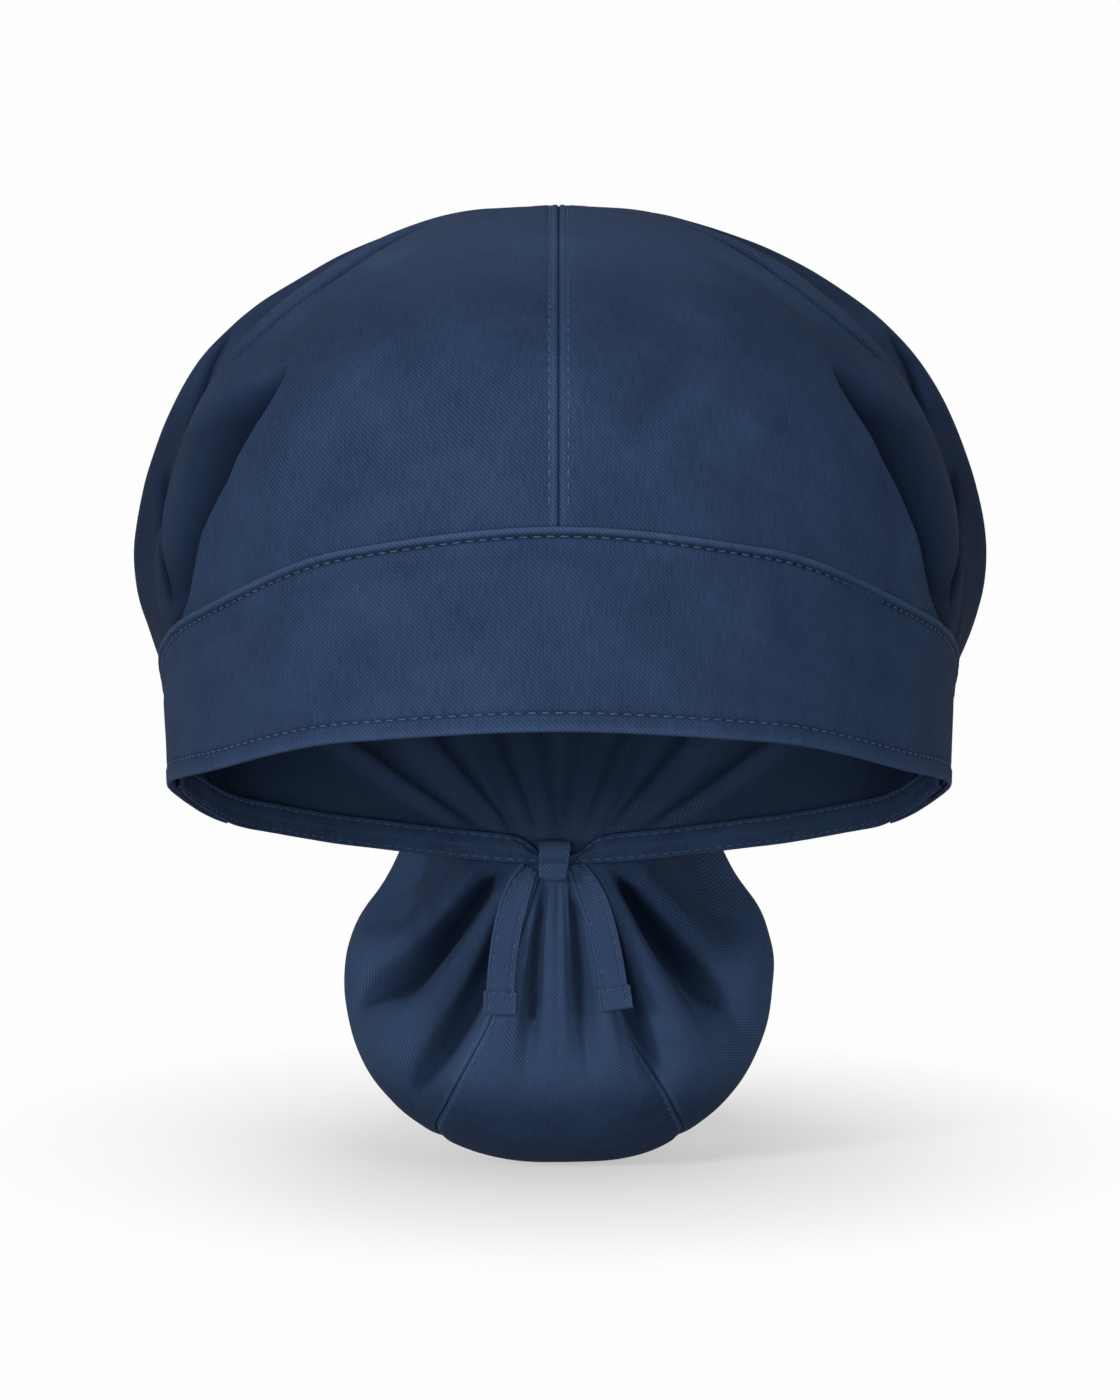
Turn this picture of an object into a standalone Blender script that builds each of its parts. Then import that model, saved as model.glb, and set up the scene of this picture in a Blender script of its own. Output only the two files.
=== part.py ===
"""A ponytail cap of cotton twill, built as it is sewn.

A tall front band tapers behind the ears into a narrow tie casing, which a knot
pinches together at the nape. Two front crown panels meet at a centre seam, and
a fuller back panel joins them along a seam from ear to ear. A pouch of three
panels hangs behind the knot and opens into the crown through a mouth.

Metres, +Z up, the wearer faces -Y. The origin is the middle of the head opening.
Run it with: blender --background --python part.py
"""
import bpy
import bmesh
import numpy as np

# Head opening, the band at its front and sides, the casing at its back
BAND_HALF_WIDTH = 0.0900
BAND_HALF_DEPTH = 0.1040
BAND_FLARE = 0.0016
RIM_FRONT_RISE = 0.0198
RIM_BACK_DROP = 0.0283
BAND_FRONT_HEIGHT = 0.0434
BAND_WALL = 0.0022
CASING_HEIGHT = 0.0062
CASING_WALL = 0.0016

# Crown
CROWN_RISE = 0.0674
CROWN_POLE_SETBACK = 0.0300
CROWN_SIDE_BULGE = 0.0022
CROWN_BACK_BULGE = 0.0290
CROWN_WALL = 0.0012
SEAM_PUFF = 0.0058
PLEAT_DEPTH = 0.0085
CROWN_GATHER_DEPTH = 0.0040

# Pouch, and the mouth that joins it to the crown
POUCH_HALF_WIDTH = 0.0537
POUCH_HALF_DEPTH = 0.0440
POUCH_UPPER_HEIGHT = 0.0400
POUCH_LOWER_HEIGHT = 0.0457
POUCH_SETBACK = 0.0440
POUCH_DROP = 0.0340
POUCH_WALL = 0.0012
POUCH_FOLD_DEPTH = 0.0050
MOUTH_HALF_WIDTH = 0.0220
MOUTH_HALF_HEIGHT = 0.0165
MOUTH_RISE = 0.0570

# Tie knot and its two tails
KNOT_WIDTH = 0.0074
KNOT_HEIGHT = 0.0096
KNOT_DEPTH = 0.0056
KNOT_OFFSET = -0.0012
KNOT_RISE = 0.0012
KNOT_ROUNDING = 0.0012
TAIL_WIDTH = 0.0070
TAIL_LENGTH = 0.0376
TAIL_WALL = 0.0012

# What is sewn together keeps this gap, and the crown stands back this far from the band's face
GAP = 0.0004
BAND_LEDGE = 0.0005
BACK_EDGE_RISE = 0.0008
POLE_OPENING = 0.0015

# Share of the crown's rise, next to the band, that stays smooth where it is sewn on
SEWN_FOOT = 0.012

# Angles go round the head in degrees: 0 at the brow, 90 at the right ear, 180 at the nape
BAND_END = 118.0
BACK_EDGE_TURN = 2.0
EAR_SEAM = 85.0

# The pouch's axis leans this far from upright towards the knot, and its cloth runs between
# these two angles from that axis, over a form that is fuller than a ball
POUCH_LEAN = 45.0
POUCH_FIRST_TURN = 22.0
POUCH_LAST_TURN = 178.0
POUCH_FULLNESS = 2.12

# Rows and columns of cloth in a panel
CROWN_STEPS = 14
POUCH_STEPS = 13
FRONT_COLUMNS = 20
SIDE_COLUMNS = 8
BACK_COLUMNS = 7
NAPE_COLUMNS = 8
CASING_COLUMNS = 15
POUCH_CENTRE_COLUMNS = 10
POUCH_SIDE_COLUMNS = 19
TAIL_STEPS = 13
NAPE_ANGLE = 165.0

# The rim from the nape's level up to the brow's, as a share of both drops together
RIM_ROWS = {
    "angle": (0, 30, 60, 80, 98, 118, 145, 180),
    "lift": (1.0, 0.933, 0.737, 0.63, 0.52, 0.325, 0.13, 0.0),
}

# How much of the way from the casing's height to the brow's height the band reaches
BAND_ROWS = {
    "angle": (0, 30, 50, 65, 78, 90, 100, 110, 118),
    "band": (1.0, 0.94, 0.84, 0.77, 0.68, 0.56, 0.38, 0.14, 0.0),
}

# The casing's height, as a share of its own, pinched towards the knot
CASING_ROWS = {
    "angle": (118, 165, 172, 176, 180),
    "casing": (1.0, 1.0, 0.92, 0.70, 0.42),
}

# The crown: how far it bulges, how high it is widest, how full it is above that
CROWN_ROWS = {
    "angle": (0, 30, 60, 85, 112, 140, 180),
    "side_bulge": (0.3, 0.3, 0.5, 1.0, 1.0, 0.6, 0.0),
    "back_bulge": (0.0, 0.0, 0.0, 0.0, 0.15, 0.58, 1.0),
    "widest": (0.25, 0.22, 0.17, 0.15, 0.31, 0.37, 0.38),
    "fullness": (2.15, 2.10, 2.05, 2.00, 2.05, 2.05, 2.05),
}

# Beside the ear seam the back panel puffs out, by degrees behind the seam and by the rise
PUFF_ROWS = {
    "behind_seam": (-0.5, 14.0, 35.0, 70.0),
    "puff": (0.0, 1.0, 1.0, 0.0),
}
PUFF_RISE_ROWS = {
    "rise": (0.0, 0.22, 0.45, 0.85),
    "puff": (0.0, 1.0, 1.0, 0.0),
}

# In front of it the front panel is drawn in a little, by degrees before the seam
TUCK_ROWS = {
    "before_seam": (0.0, 9.0),
    "tuck": (0.25, 0.0),
}
TUCK_RISE_ROWS = {
    "rise": (0.0, 0.20, 0.60, 0.90),
    "tuck": (0.0, 1.0, 1.0, 0.0),
}

# Pleats of the front panels, a column for each, with widths in degrees before and behind the
# line, and the share of those widths and of the reach where the pleat starts and fades
PLEAT_ROWS = {
    "foot_angle": (69.0,),
    "tip_angle": (47.0,),
    "tip_rise": (0.33,),
    "depth": (1.0,),
    "front_width": (3.0,),
    "back_width": (17.0,),
    "foot_width": (0.35,),
    "fade_start": (0.80,),
    "fade_end": (1.08,),
}

# Gathers of the back panel, a column for each: degrees from the nape, and their reach upwards
GATHER_ROWS = {
    "foot_angle": (1.6, 3.6, 5.8, 8.6),
    "tip_angle": (6.0, 15.0, 27.0, 42.0),
    "tip_rise": (0.34, 0.32, 0.28, 0.22),
    "depth": (0.8, 1.0, 0.8, 0.55),
    "foot_width": (0.9, 0.9, 0.9, 0.9),
    "tip_width": (4.9, 4.9, 4.9, 4.9),
}

# How a gather deepens and fades along its reach
GATHER_FADE_ROWS = {
    "along": (-0.1, 0.30, 0.45, 1.0),
    "depth": (0.0, 1.0, 1.0, 0.0),
}

# Folds of the pouch, a column for each: the fan angle is 0 straight down from the knot
FOLD_ROWS = {
    "start_fan": (-84.0, -58.0, -31.0, -13.0, 12.0, 29.0, 54.0, 83.0),
    "end_fan": (-98.0, -77.0, -48.0, -11.0, 10.0, 33.0, 66.0, 97.0),
    "half_width": (9.0, 12.0, 9.0, 5.5, 5.5, 8.0, 11.0, 9.0),
    "depth": (0.5, 1.0, 1.0, 0.6, 0.6, 0.9, 1.0, 0.5),
    "reach": (0.42, 0.46, 0.50, 0.36, 0.36, 0.42, 0.46, 0.42),
}

# A fold is full this far along the bag, and starts to fade at this share of its reach
FOLD_FULL = 0.22
FOLD_FADE = 0.55

# Where the pouch is sewn to the back panel: degrees from the nape, share of the crown's rise
ATTACH_ROWS = {
    "fan": (0, 35, 70, 100, 130, 155, 180),
    "side": (0.0, 4.0, 8.0, 11.0, 15.0, 14.0, 0.0),
    "rise": (0.0, 0.0, 0.01, 0.08, 0.24, 0.38, 0.43),
    "pull": (0.40, 0.38, 0.30, 0.32, 0.45, 0.62, 0.70),
}

# Fan angle of the seams beside the pouch's centre panel, from the knot to the end of the bag
PRINCESS_ROWS = {
    "along": (0.0, 0.13, 0.25, 0.35, 0.45, 0.60, 1.0),
    "fan": (18.0, 22.0, 27.0, 32.0, 36.0, 43.0, 46.0),
}

# A tail from the knot to its end: degrees outward from straight down, share of full width
TAIL_ROWS = {
    "along": (0.0, 0.12, 0.30, 0.55, 1.0),
    "heading": (52.0, 44.0, 28.0, 12.0, 8.0),
    "width": (0.50, 0.80, 1.0, 1.0, 1.0),
}

TWILL_NAVY = (0.030, 0.055, 0.115, 1.0)
TWILL_ROUGHNESS = 0.85


def through(rows, key, column, at, level_ends=True):
    """A smooth curve through a table's values."""
    keys = np.asarray(rows[key], float)
    values = np.asarray(rows[column], float)
    at = np.clip(at, keys[0], keys[-1])
    step = np.diff(values) / np.diff(keys)
    slope = np.zeros(len(keys))
    if not level_ends:
        slope[[0, -1]] = step[[0, -1]]
    for i in range(1, len(keys) - 1):
        if step[i - 1] * step[i] > 0:
            slope[i] = 2 * step[i - 1] * step[i] / (step[i - 1] + step[i])
    i = np.clip(np.searchsorted(keys, at, side="right") - 1, 0, len(keys) - 2)
    span = keys[i + 1] - keys[i]
    t = (at - keys[i]) / span
    rising = t * t * (3 - 2 * t)
    leave = t * (1 - t) ** 2 * span * slope[i]
    arrive = t * t * (1 - t) * span * slope[i + 1]
    return values[i] + (values[i + 1] - values[i]) * rising + leave - arrive


def ease(x, low, high):
    """0 below low, 1 above high, with a soft start and end."""
    t = np.clip((x - low) / (high - low), 0, 1)
    return t * t * (3 - 2 * t)


def from_brow(angle):
    """Degrees from the brow, the shorter way round the head."""
    return np.abs((np.asarray(angle, float) + 180) % 360 - 180)


def rim_height(angle):
    """The rim is high at the brow and low at the nape."""
    lift = through(RIM_ROWS, "angle", "lift", from_brow(angle))
    return -RIM_BACK_DROP + (RIM_FRONT_RISE + RIM_BACK_DROP) * lift


def band_height(angle):
    """Height of the band above its rim, down to the casing's height behind the ears."""
    around = from_brow(angle)
    share = through(BAND_ROWS, "angle", "band", around)
    pinch = through(CASING_ROWS, "angle", "casing", around)
    return CASING_HEIGHT * pinch + (BAND_FRONT_HEIGHT - CASING_HEIGHT) * share


def head_outline(angle, height, inset):
    """The oval of the head opening, a little wider at this height above the rim."""
    turn = np.radians(angle)
    inset = inset + BAND_FLARE * (1 - height / BAND_FRONT_HEIGHT)
    across = (BAND_HALF_WIDTH - inset) * np.sin(turn)
    along = -(BAND_HALF_DEPTH - inset) * np.cos(turn)
    return across, along


def fold_shape(offset, ahead, behind):
    """A valley that is 1 at its line, steep on one side and gentle on the other."""
    width = np.where(offset < 0, ahead, behind)
    return np.exp(-((offset / width) ** 2))


def pleat_valleys(angle, rise):
    """Depth share of the pleats that start at the band, beside the temples."""
    around = from_brow(angle)
    depth = np.zeros(np.shape(around * rise))
    for foot, tip, reach, share, ahead, behind, start, fading, gone in zip(*PLEAT_ROWS.values()):
        along = np.clip(rise / reach, 0, gone)
        line = foot + (tip - foot) * np.sin(np.minimum(along, 1) * np.pi / 2)
        narrow = start + (1 - start) * along
        fade = 1 - ease(along, fading, gone)
        depth = depth + share * fade * fold_shape(around - line, ahead * narrow, behind * narrow)
    return depth


def gather_valleys(angle, rise):
    """Depth share of the gathers that radiate from the knot up the back panel."""
    from_nape = 180 - from_brow(angle)
    depth = np.zeros(np.shape(from_nape * rise))
    for foot, tip, reach, share, narrow, wide in zip(*GATHER_ROWS.values()):
        along = np.clip(rise / reach, 0, 1)
        line = foot + (tip - foot) * along
        width = narrow + (wide - narrow) * along
        fade = through(GATHER_FADE_ROWS, "along", "depth", along)
        depth = depth + share * fade * np.exp(-(((from_nape - line) / width) ** 2))
    return depth


def crown_point(angle, rise):
    """A point of the crown's outer side: rise is 0 at the band and 1 at the top of the head."""
    angle, rise = np.broadcast_arrays(np.asarray(angle, float), np.asarray(rise, float))
    around = from_brow(angle)
    over_casing = ease(around, BAND_END, BAND_END + BACK_EDGE_TURN)
    ledge = BAND_LEDGE * (1 - over_casing)
    foot_rise = (band_height(angle) + GAP) * (1 - over_casing) + BACK_EDGE_RISE * over_casing
    foot_x, foot_y = head_outline(angle, foot_rise, ledge)
    arm_x, arm_y = foot_x, foot_y - CROWN_POLE_SETBACK
    arm = np.hypot(arm_x, arm_y)
    bulge = CROWN_SIDE_BULGE * through(CROWN_ROWS, "angle", "side_bulge", around)
    bulge = bulge + CROWN_BACK_BULGE * through(CROWN_ROWS, "angle", "back_bulge", around)
    wide = arm + bulge
    foot_z = rim_height(angle) + foot_rise
    top_z = RIM_FRONT_RISE + BAND_FRONT_HEIGHT + CROWN_RISE
    wide_z = foot_z + (top_z - foot_z) * through(CROWN_ROWS, "angle", "widest", around)
    fullness = through(CROWN_ROWS, "angle", "fullness", around)
    lean = np.arccos(arm / wide)
    tilt = -lean + (np.pi / 2 + lean) * rise
    above = tilt > 0
    cosine = np.clip(np.cos(tilt), 0, 1)
    sine = np.clip(np.sin(tilt), 0, 1)
    under = (wide_z - foot_z) * np.sin(tilt) / np.sin(np.maximum(lean, 1e-3))
    reach = wide * np.where(above, cosine ** (2 / fullness), cosine)
    height = np.where(above, wide_z + (top_z - wide_z) * sine ** (2 / fullness), wide_z + under)
    puff = through(PUFF_ROWS, "behind_seam", "puff", around - EAR_SEAM)
    puff = puff * through(PUFF_RISE_ROWS, "rise", "puff", rise)
    tuck = through(TUCK_ROWS, "before_seam", "tuck", EAR_SEAM - around) * (around <= EAR_SEAM)
    tuck = tuck * through(TUCK_RISE_ROWS, "rise", "tuck", rise)
    swell = SEAM_PUFF * (puff - tuck)
    swell = swell - PLEAT_DEPTH * pleat_valleys(angle, rise)
    swell = swell - CROWN_GATHER_DEPTH * gather_valleys(angle, rise)
    swell = swell * ease(rise, SEWN_FOOT, 4 * SEWN_FOOT)
    reach = reach + swell * np.clip(np.cos(tilt), 0, 1)
    height = height + swell * np.sin(tilt) * above
    x = arm_x / arm * reach
    y = CROWN_POLE_SETBACK + arm_y / arm * reach
    return np.stack([x, y, height], axis=-1)


def pouch_centre():
    """Middle of the pouch, set back and down from the knot."""
    nape = rim_height(180.0)
    return np.array([0.0, BAND_HALF_DEPTH + POUCH_SETBACK, nape - POUCH_DROP])


def pouch_round(fan, turn):
    """A point of the pouch's full round form, seen along rays from its middle."""
    lean = np.radians(POUCH_LEAN)
    to_knot = np.array([0.0, -np.sin(lean), np.cos(lean)])
    to_front = np.array([0.0, -np.cos(lean), -np.sin(lean)])
    fan = np.radians(fan)
    x = np.sin(turn) * np.sin(fan)
    y = np.cos(turn) * to_knot[1] + np.sin(turn) * np.cos(fan) * to_front[1]
    z = np.cos(turn) * to_knot[2] + np.sin(turn) * np.cos(fan) * to_front[2]
    tall = np.where(z > 0, POUCH_UPPER_HEIGHT, POUCH_LOWER_HEIGHT)
    size = (np.abs(x) / POUCH_HALF_WIDTH) ** POUCH_FULLNESS
    size = size + (np.abs(y) / POUCH_HALF_DEPTH) ** POUCH_FULLNESS
    size = size + (np.abs(z) / tall) ** POUCH_FULLNESS
    reach = size ** (-1 / POUCH_FULLNESS)
    return np.stack([x * reach, y * reach, z * reach], axis=-1)


def pouch_folds(fan, along):
    """Depth share of the folds that radiate from the knot down the pouch."""
    depth = np.zeros(np.shape(fan * along))
    for start, end, half, share, reach in zip(*FOLD_ROWS.values()):
        line = start + (end - start) * ease(along, 0.0, reach)
        fade = ease(along, 0.0, FOLD_FULL) * (1 - ease(along, FOLD_FADE * reach, reach))
        depth = depth + share * fade * np.exp(-(((fan - line) / half) ** 2))
    return depth


def pouch_point(fan, along):
    """A point of the pouch: along is 0 where it is sewn on and 1 at the far end of the bag."""
    fan, along = np.broadcast_arrays(np.asarray(fan, float), np.asarray(along, float))
    first_turn = np.radians(POUCH_FIRST_TURN)
    last_turn = np.radians(POUCH_LAST_TURN)
    turn = first_turn + (last_turn - first_turn) * along
    body = pouch_round(fan, turn)
    start = pouch_round(fan, np.full(fan.shape, first_turn))
    around = np.abs(fan)
    side = through(ATTACH_ROWS, "fan", "side", around, level_ends=False)
    rise = through(ATTACH_ROWS, "fan", "rise", around)
    seam = crown_point(180 - side, rise)
    seam[..., 0] = seam[..., 0] * np.sign(fan)
    stand_off = POUCH_WALL + GAP
    flat = np.hypot(seam[..., 0], seam[..., 1] - CROWN_POLE_SETBACK)
    seam[..., 0] += seam[..., 0] / flat * stand_off
    seam[..., 1] += (seam[..., 1] - CROWN_POLE_SETBACK) / flat * stand_off
    pull = 1 - ease(along, 0.0, through(ATTACH_ROWS, "fan", "pull", around))
    folds = 1 - POUCH_FOLD_DEPTH / POUCH_HALF_DEPTH * pouch_folds(fan, along)
    centre = pouch_centre()
    return centre + body * folds[..., None] + (seam - centre - start) * pull[..., None]


def clear_scene():
    """Start from an empty scene."""
    for item in list(bpy.data.objects):
        bpy.data.objects.remove(item)


def cloth(name, colour):
    """A plain material in the cloth's colour."""
    material = bpy.data.materials.new(name)
    material.use_nodes = True
    shader = material.node_tree.nodes["Principled BSDF"]
    shader.inputs["Base Color"].default_value = colour
    shader.inputs["Roughness"].default_value = TWILL_ROUGHNESS
    shader.inputs["Metallic"].default_value = 0.0
    return material


def sewn_sheet(name, grid, wall, material, collection):
    """A cloth sheet through a grid of points, thickened inwards from its outer side."""
    rows, columns = grid.shape[:2]
    form = bmesh.new()
    corners = [[form.verts.new(point) for point in row] for row in grid.tolist()]
    for i in range(rows - 1):
        for j in range(columns - 1):
            low, high = corners[i], corners[i + 1]
            form.faces.new((low[j], low[j + 1], high[j + 1], high[j]))
    mesh = bpy.data.meshes.new(name)
    form.to_mesh(mesh)
    form.free()
    mesh.shade_smooth()
    sheet = bpy.data.objects.new(name, mesh)
    sheet.data.materials.append(material)
    collection.objects.link(sheet)
    thickness = sheet.modifiers.new("Cloth", "SOLIDIFY")
    thickness.thickness = wall
    thickness.offset = -1.0
    return sheet


def seam_gap(angle, rise, gap):
    """Degrees round the head that span this gap on the crown."""
    step = crown_point(angle + 1.0, rise) - crown_point(angle, rise)
    return gap / np.linalg.norm(step, axis=-1)


def inner_side(surface, across, along, wall):
    """The inner side of a curved wall, this far behind its outer side everywhere."""
    small = 1e-3
    sideways = surface(across + small, along) - surface(across - small, along)
    onward = surface(across, along + small) - surface(across, along - small)
    facing = np.cross(sideways, onward)
    facing = facing / np.linalg.norm(facing, axis=-1, keepdims=True)
    return surface(across, along) - wall * facing


def lofted_panel(name, outer, inner, material, collection):
    """A closed cloth panel between its outer and inner sides, two grids of points."""
    rows, columns = outer.shape[:2]
    form = bmesh.new()
    sides = [[[form.verts.new(point) for point in row] for row in grid.tolist()]
             for grid in (outer, inner)]
    for i in range(rows - 1):
        for j in range(columns - 1):
            for side, order in zip(sides, (1, -1)):
                square = (side[i][j], side[i][j + 1], side[i + 1][j + 1], side[i + 1][j])
                form.faces.new(square[::order])
    edge = [(0, j) for j in range(columns)] + [(i, columns - 1) for i in range(1, rows)]
    edge += [(rows - 1, j) for j in range(columns - 2, -1, -1)]
    edge += [(i, 0) for i in range(rows - 2, 0, -1)]
    for (i, j), (k, m) in zip(edge, edge[1:] + edge[:1]):
        form.faces.new((sides[0][i][j], sides[1][i][j], sides[1][k][m], sides[0][k][m]))
    mesh = bpy.data.meshes.new(name)
    form.to_mesh(mesh)
    form.free()
    mesh.shade_smooth()
    panel = bpy.data.objects.new(name, mesh)
    panel.data.materials.append(material)
    collection.objects.link(panel)
    return panel


def crown_panel(name, angles, material, collection):
    """A panel of the crown between two seams, given as angles round the head."""
    top = 1 - POLE_OPENING / (2 * BAND_HALF_WIDTH)
    rise = np.concatenate([[0.0], np.linspace(SEWN_FOOT, top, CROWN_STEPS)])[:, None]
    share = ((angles - angles[0]) / (angles[-1] - angles[0]))[None, :]
    start = angles[0] + seam_gap(angles[0], rise, GAP / 2)
    end = angles[-1] - seam_gap(angles[-1], rise, GAP / 2)
    angle = start + (end - start) * share
    outer = crown_point(angle, rise)
    inner = inner_side(crown_point, angle, rise, CROWN_WALL)
    return lofted_panel(name, outer, inner, material, collection)


def pouch_panel(name, seams, columns, material, collection):
    """A panel of the pouch between two seams, each a fan angle for every row along the bag."""
    along = np.linspace(0, 1, POUCH_STEPS)[:, None]
    first, last = (seam(along) for seam in seams)
    first = first - fan_gap(first, along, GAP / 2)
    last = last + fan_gap(last, along, GAP / 2)
    share = np.linspace(0, 1, columns)[None, :]
    fan = first + (last - first) * share
    outer = pouch_point(fan, along)
    inner = inner_side(pouch_point, fan, along, -POUCH_WALL)
    return lofted_panel(name, outer, inner, material, collection)


def fan_gap(fan, along, gap):
    """Degrees of fan that span this gap on the pouch."""
    step = pouch_point(fan + 0.5, along) - pouch_point(fan - 0.5, along)
    return gap / np.linalg.norm(step, axis=-1)


def right_seam(along):
    """Fan angle of the seam on the right of the centre panel."""
    return through(PRINCESS_ROWS, "along", "fan", along)


def left_seam(along):
    """Fan angle of the seam on the left of the centre panel."""
    return -right_seam(along)


def right_back_edge(along):
    """Fan angle of the seam up the back of the pouch, met from the right."""
    return np.full(np.shape(along), 180.0)


def left_back_edge(along):
    """The same seam, met from the left."""
    return -right_back_edge(along)


def band_sheet(name, angles, rows, inset, wall, material, collection):
    """The band or the casing: an upright strip round the head opening."""
    angles = angles[None, :]
    height = band_height(angles) * rows[:, None]
    x, y = head_outline(angles, height, inset)
    grid = np.stack([x + 0 * height, y + 0 * height, rim_height(angles) + height], axis=-1)
    return sewn_sheet(name, grid, wall, material, collection)


def cut_mouth(panel, cutters):
    """Cut the oval mouth through the back panel, where hair passes into the pouch."""
    form = bmesh.new()
    bmesh.ops.create_cone(form, cap_ends=True, segments=24, radius1=1.0, radius2=1.0, depth=1.0)
    mesh = bpy.data.meshes.new("mouth_cutter")
    form.to_mesh(mesh)
    form.free()
    cutter = bpy.data.objects.new("mouth_cutter", mesh)
    reach = 2 * CROWN_BACK_BULGE + 4 * CROWN_WALL
    for corner in mesh.vertices:
        across, up, through_wall = corner.co
        corner.co = (across * MOUTH_HALF_WIDTH, through_wall * reach, up * MOUTH_HALF_HEIGHT)
    mesh.flip_normals()
    cutter.location = (0.0, BAND_HALF_DEPTH + CROWN_BACK_BULGE, MOUTH_RISE - RIM_BACK_DROP)
    cutter.hide_render = True
    cutter.display_type = "WIRE"
    cutters.objects.link(cutter)
    cut = panel.modifiers.new("Mouth", "BOOLEAN")
    cut.operation = "DIFFERENCE"
    cut.solver = "EXACT"
    cut.object = cutter


def knot_box():
    """Centre of the tie knot, which sits on the inner side of the gathered nape."""
    back_y = head_outline(180.0, 0.0, CROWN_WALL + GAP)[1]
    return np.array([KNOT_OFFSET, back_y - KNOT_DEPTH / 2, KNOT_RISE - RIM_BACK_DROP])


def tie_knot(material, collection):
    """The knot: a soft block of wound casing cloth."""
    form = bmesh.new()
    bmesh.ops.create_cube(form, size=1.0)
    for corner in form.verts:
        corner.co.x *= KNOT_WIDTH
        corner.co.y *= KNOT_DEPTH
        corner.co.z *= KNOT_HEIGHT
    mesh = bpy.data.meshes.new("tie_knot")
    form.to_mesh(mesh)
    form.free()
    mesh.shade_smooth()
    knot = bpy.data.objects.new("tie_knot", mesh)
    knot.location = knot_box()
    knot.data.materials.append(material)
    collection.objects.link(knot)
    rounding = knot.modifiers.new("Soft edges", "BEVEL")
    rounding.width = KNOT_ROUNDING
    rounding.segments = 2
    return knot


def pouch_front():
    """Points all over the part of the pouch that the tails lie on."""
    fan, along = np.meshgrid(np.linspace(-60, 60, 61), np.linspace(0, 0.5, 41))
    return pouch_point(fan, along).reshape(-1, 3)


def tail_grid(side):
    """A tail's front side: it leaves the knot sideways, turns down and lies on the pouch."""
    along = np.linspace(0, 1, TAIL_STEPS)
    heading = np.radians(through(TAIL_ROWS, "along", "heading", along))
    middle = (heading[1:] + heading[:-1]) / 2
    step = TAIL_LENGTH / (len(along) - 1)
    x = np.concatenate([[0.0], np.cumsum(np.sin(middle) * step)])
    z = np.concatenate([[0.0], -np.cumsum(np.cos(middle) * step)])
    centre = knot_box()
    x = x + KNOT_WIDTH / 2
    half = TAIL_WIDTH / 2 * through(TAIL_ROWS, "along", "width", along)
    across = np.array([-1.0, 0.0, 1.0])[None, :]
    grid_x = centre[0] + side * (x[:, None] + across * (half * np.cos(heading))[:, None])
    grid_z = centre[2] - KNOT_HEIGHT / 2 + z[:, None] + across * (half * np.sin(heading))[:, None]
    pouch = pouch_front()
    front = np.full(len(along), centre[1])
    for i in range(len(along)):
        beside = np.abs(pouch[:, 0] - grid_x[i, 1]) < TAIL_WIDTH
        level = np.abs(pouch[:, 2] - grid_z[i, 1]) < TAIL_WIDTH / 2
        near = pouch[beside & level]
        front[i] = near[:, 1].min() - GAP - TAIL_WALL
    grid_y = np.broadcast_to(front[:, None], grid_x.shape)
    return np.stack([grid_x, grid_y, grid_z], axis=-1)


def build():
    clear_scene()
    cap = bpy.data.collections.new("ponytail_cap")
    cutters = bpy.data.collections.new("cutters")
    bpy.context.scene.collection.children.link(cap)
    bpy.context.scene.collection.children.link(cutters)
    twill = cloth("navy_twill", TWILL_NAVY)

    front = np.linspace(0, EAR_SEAM, FRONT_COLUMNS)
    side = np.linspace(EAR_SEAM, BAND_END, SIDE_COLUMNS)
    turn = BAND_END + BACK_EDGE_TURN * np.linspace(0, 1, 3)
    back = np.linspace(turn[-1], NAPE_ANGLE, BACK_COLUMNS)
    nape = np.linspace(NAPE_ANGLE, 180, NAPE_COLUMNS)
    half_band = np.concatenate([front, side[1:]])
    half_back = np.concatenate([side, turn[1:], back[1:], nape[1:]])

    band_sheet("front_band", np.concatenate([-half_band[:0:-1], half_band]), np.linspace(0, 1, 4),
               0.0, BAND_WALL, twill, cap)
    first = BAND_END + np.degrees(2 * GAP / BAND_HALF_WIDTH)
    half_knot = KNOT_WIDTH / 2 + GAP
    for name, side in (("back_casing_left", -1), ("back_casing_right", 1)):
        knot_edge = (half_knot + side * KNOT_OFFSET) / (BAND_HALF_WIDTH - BAND_FLARE)
        last = 180 - np.degrees(np.arcsin(knot_edge))
        angles = np.sort(side * np.linspace(first, last, CASING_COLUMNS))
        band_sheet(name, angles, np.linspace(0, 1, 2), CROWN_WALL + GAP, CASING_WALL, twill, cap)

    crown_panel("crown_panel_left", -front[::-1], twill, cap)
    crown_panel("crown_panel_right", front, twill, cap)
    back = crown_panel("crown_back_panel", np.concatenate([half_back, 360 - half_back[-2::-1]]),
                       twill, cap)
    cut_mouth(back, cutters)

    pouch_panel("pouch_centre_panel", (right_seam, left_seam), POUCH_CENTRE_COLUMNS,
                twill, cap)
    pouch_panel("pouch_side_right", (right_back_edge, right_seam), POUCH_SIDE_COLUMNS, twill, cap)
    pouch_panel("pouch_side_left", (left_seam, left_back_edge), POUCH_SIDE_COLUMNS, twill, cap)

    tie_knot(twill, cap)
    for name, side in (("tie_tail_left", -1), ("tie_tail_right", 1)):
        sewn_sheet(name, tail_grid(side), TAIL_WALL, twill, cap)


build()
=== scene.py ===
# %% [markdown]
# # A ponytail cap in navy twill
# A ponytail cap is a soft work cap with a tall band over the brow, a full crown, and a pouch
# behind the nape that takes long hair. This lesson starts from a plain model of the cap, one
# solid for each cloth piece, and sews the visible cloth around it. Every piece is worked out
# from the same sizes as the plain model, so that each one lands where its solid is.

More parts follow.
